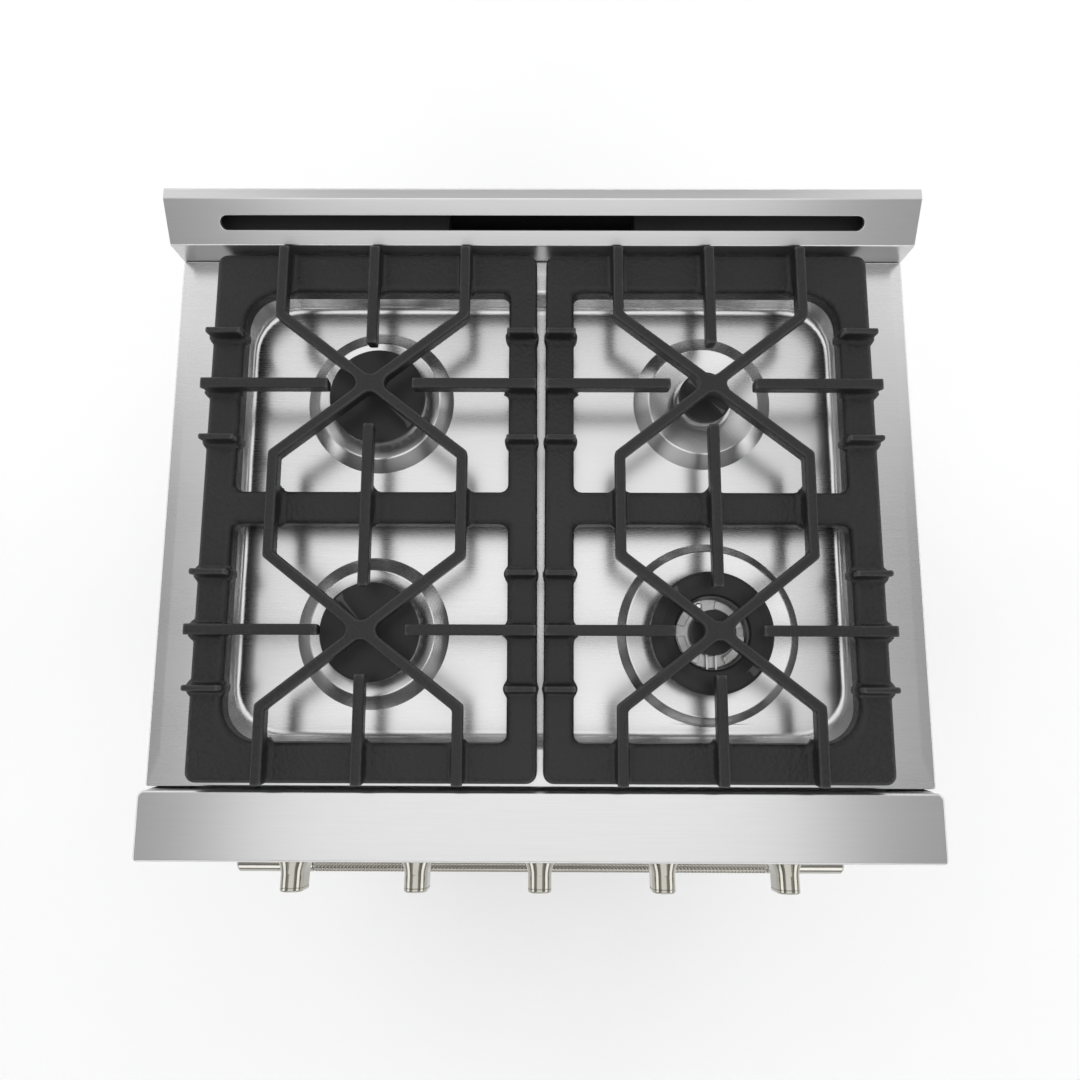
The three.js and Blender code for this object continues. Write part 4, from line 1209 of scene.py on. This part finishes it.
def make_rear():
    """Louvres pressed out of the rear panel, dark strips of painted shade under them where their openings
    would show, and the panels' screws.
    """
    low, high = box_mm("rear_panel")
    half_width, height, first_row, row_pitch, rows = 62, 9, 560, 20, 9
    louvre = [(0, -0.5), (0, 0.2), (0.7, 2), (2, 3.3), (3.4, 3.8)]
    bm, shade_strips = bmesh.new(), bmesh.new()
    for column in (-190, 0, 190):
        x0, x1 = column - half_width, column + half_width
        for row in range(rows):
            z = first_row + row * row_pitch
            rings = []
            for inset, out in louvre:
                xs, zs = (x0 + inset, x1 - inset), (z + inset * 0.3, z + height - inset)
                rings.append(at_y(rounded(xs, zs, max(4 - inset, 0.6), 5), high.y + out))
            capped(bm, rings)
            # painted shade: a thin dark strip at the foot of each louvre stands in for the shadowed opening
            # under it
            block(shade_strips, (x0 + 5, x1 - 5), (high.y - 0.4, high.y + 0.15), (z - 3.2, z + 1))
    place("rear_louvres", bm, ZINC, "chassis", "galvanised_steel", sharp=40)
    place("rear_louvre_shade_strips", shade_strips, DARK, "chassis", "dark_steel")
    backwards = Matrix.Rotation(-math.pi / 2, 4, "X")
    spots = [(x, high.y, z) for x in (low.x + 14, high.x - 14) for z in (160, 330, 500, 670, 800)]
    spots += [(x, high.y, z) for x in (-220, 0, 220) for z in (128, 825)]
    make_screws("rear_screws", spots, backwards, ZINC, "galvanised_steel")
    for side, sign in SIDES:
        outward = Matrix.Rotation(sign * math.pi / 2, 4, "Y")
        x = box_mm(f"side_panel_{side}")[max(sign, 0)].x
        spots = [(x, y, z) for y in (FRONT + 26, BACK - 30) for z in (126, 420, 832)]
        make_screws(f"side_screws_{side}", spots, outward, LEG_STEEL, "stainless_panel")


def make_kick_plate():
    """The plate under the door, with two rows of slots that let air in."""
    low, high = box_mm("kick_plate")
    before = soften([(high.y, low.z), ((low.y, low.z), 2.5), (low.y, high.z)], steps=5)[:-1]
    after = [(low.y, high.z - 0.01), (low.y + 0.01, high.z)]

    def slot_at(x, up):
        return lambda grow: grown((x - 20, x + 20), (up - 2.5, up + 2.5), 2.45 + grow, grow, 5)
    slots = [slot_at(x, up) for x in range(-275, 276, 50) for up in (58, 72)]
    bm = folded_sheet(before, after, low.x, high.x, slots, 2, before[-1], ends=False)
    place("kick_plate_sheet", bm, STEEL, "chassis", "stainless_panel", ["kick_plate"],
          facing=(0, -1, 0), thickness=1.2, sharp=40)


def keep_cad_nodes():
    """CAD nodes whose shape is already right get softened edges and their finish."""
    kept = [
        (SIDE_STEEL, 1.0, ["side_panel_left", "side_panel_right"]),
        (STEEL, 1.8, ["door_outer_panel"]),
        (ZINC, 0.8, ["rear_panel", "door_hinge_left", "door_hinge_right"]),
        (ZINC, 0.5, ["base_pan"]),
        (DARK, 0.5, ["flue_duct"]),
        (DARK, 0.8, ["gas_manifold"]),
        (DARK, 1.0, ["bake_burner"]),
        (DARK, 2.0, ["broil_burner"]),
        (ENAMEL, 0.8, ["oven_liner"]),
        (ENAMEL, 1.0, ["door_inner_panel"]),
        (GLASS, 0.6, ["door_glass_outer", "door_glass_inner"]),
        (VALVE, 0.5, [f"gas_valve_{number}" for number in CONTROLS]),
        (BRASS, 0.4, [f"valve_stem_{number}" for number in CONTROLS]),
    ]
    for finish, bevel, nodes in kept:
        for node in nodes:
            keep(node, finish, bevel)


make_back_guard()
make_ledge()
make_control_panel()
for dial in CONTROLS:
    make_bezel(dial)
    make_marks(dial)
make_knobs()
make_handle()
make_window()
make_rack("oven_rack_lower")
make_rack("oven_rack_upper")
make_gasket()
for row in ("front", "rear"):
    make_leg(f"leg_{row}_left")
    make_leg(f"leg_{row}_right")
make_rear()
make_kick_plate()
keep_cad_nodes()


# ---------------------------------------------------------------- stage
SKY_LOW, SKY_MIDDLE, SKY_HIGH = 0.42, 0.22, 0.46


def area_light(name, spot, target, size, power):
    data = bpy.data.lights.new(name, "AREA")
    data.shape = "RECTANGLE"
    data.size, data.size_y = size
    data.energy = power
    light = show(name, data)
    light.location = spot
    light.rotation_euler = (Vector(target) - Vector(spot)).to_track_quat("-Z", "Y").to_euler()


def soft_sky():
    """Even pale light: pale at the horizon, darker half way up and brighter overhead."""
    world = bpy.data.worlds.new("soft_studio")
    world.use_nodes = True
    tree = world.node_tree
    height = tree.nodes.new("ShaderNodeSeparateXYZ")
    tree.links.new(tree.nodes.new("ShaderNodeTexCoord").outputs["Generated"], height.inputs[0])
    level = tree.nodes.new("ShaderNodeValToRGB")
    stops = level.color_ramp.elements
    for position, shade in ((0.06, SKY_LOW), (0.3, SKY_MIDDLE), (0.62, SKY_MIDDLE), (0.86, SKY_HIGH)):
        stops.new(position).color = grey(shade)
    stops[0].color, stops[-1].color = grey(SKY_LOW), grey(SKY_HIGH)
    tree.links.new(height.outputs["Z"], level.inputs["Fac"])
    tree.links.new(level.outputs["Color"], tree.nodes["Background"].inputs["Color"])
    return world


def make_stage():
    """A wide pale floor, a lamp overhead with two small ones behind it, and four broad walls of light."""
    bm = bmesh.new()
    reach = 14000
    block(bm, (-reach, reach), (-reach, reach), (-20, 0))
    floor = show("floor", to_mesh(bm, "floor"))
    paper = Finish("pale_floor", Specular_IOR_Level=0.1)
    paper.feed("Base Color", paper.mix(paper.noise(3), grey(0.93), grey(0.95)))
    paper.feed("Roughness", paper.spread(paper.noise(40), 0.85, 0.95))
    floor.data.materials.append(paper.material)

    area_light("overhead", (-0.05, -0.1, 3.1), (-0.05, -0.1, 0.87), (2.1, 2.7), 17)
    for side, way in SIDES:
        area_light(f"overhead_{side}", (way * 1.55, 1.5, 3.0), (way * 0.4, 0.3, 0.87), (1.1, 1.0), 3.2)
    for name, x, y in (("left", -3.2, 0.4), ("right", 3.2, 0.2), ("front", 0.3, -3.3), ("rear", -0.2, 3.4)):
        area_light(f"{name}_wall", (x, y, 2.0), (0, 0, 0), (5.4, 1.7), 52)
    bpy.context.scene.world = soft_sky()
    bpy.context.scene.view_settings.view_transform = "Standard"


def make_camera():
    """Looks down from above the cooktop, nearly straight."""
    data = bpy.data.cameras.new("camera")
    data.lens = 28.612
    data.sensor_width = 36
    camera = show("camera", data)
    camera.location = (0.002773, -0.137249, 1.718388)
    camera.rotation_euler = [math.radians(a) for a in (9.1764, 0.2098, 0.2086)]
    bpy.context.scene.camera = camera


make_stage()
make_camera()
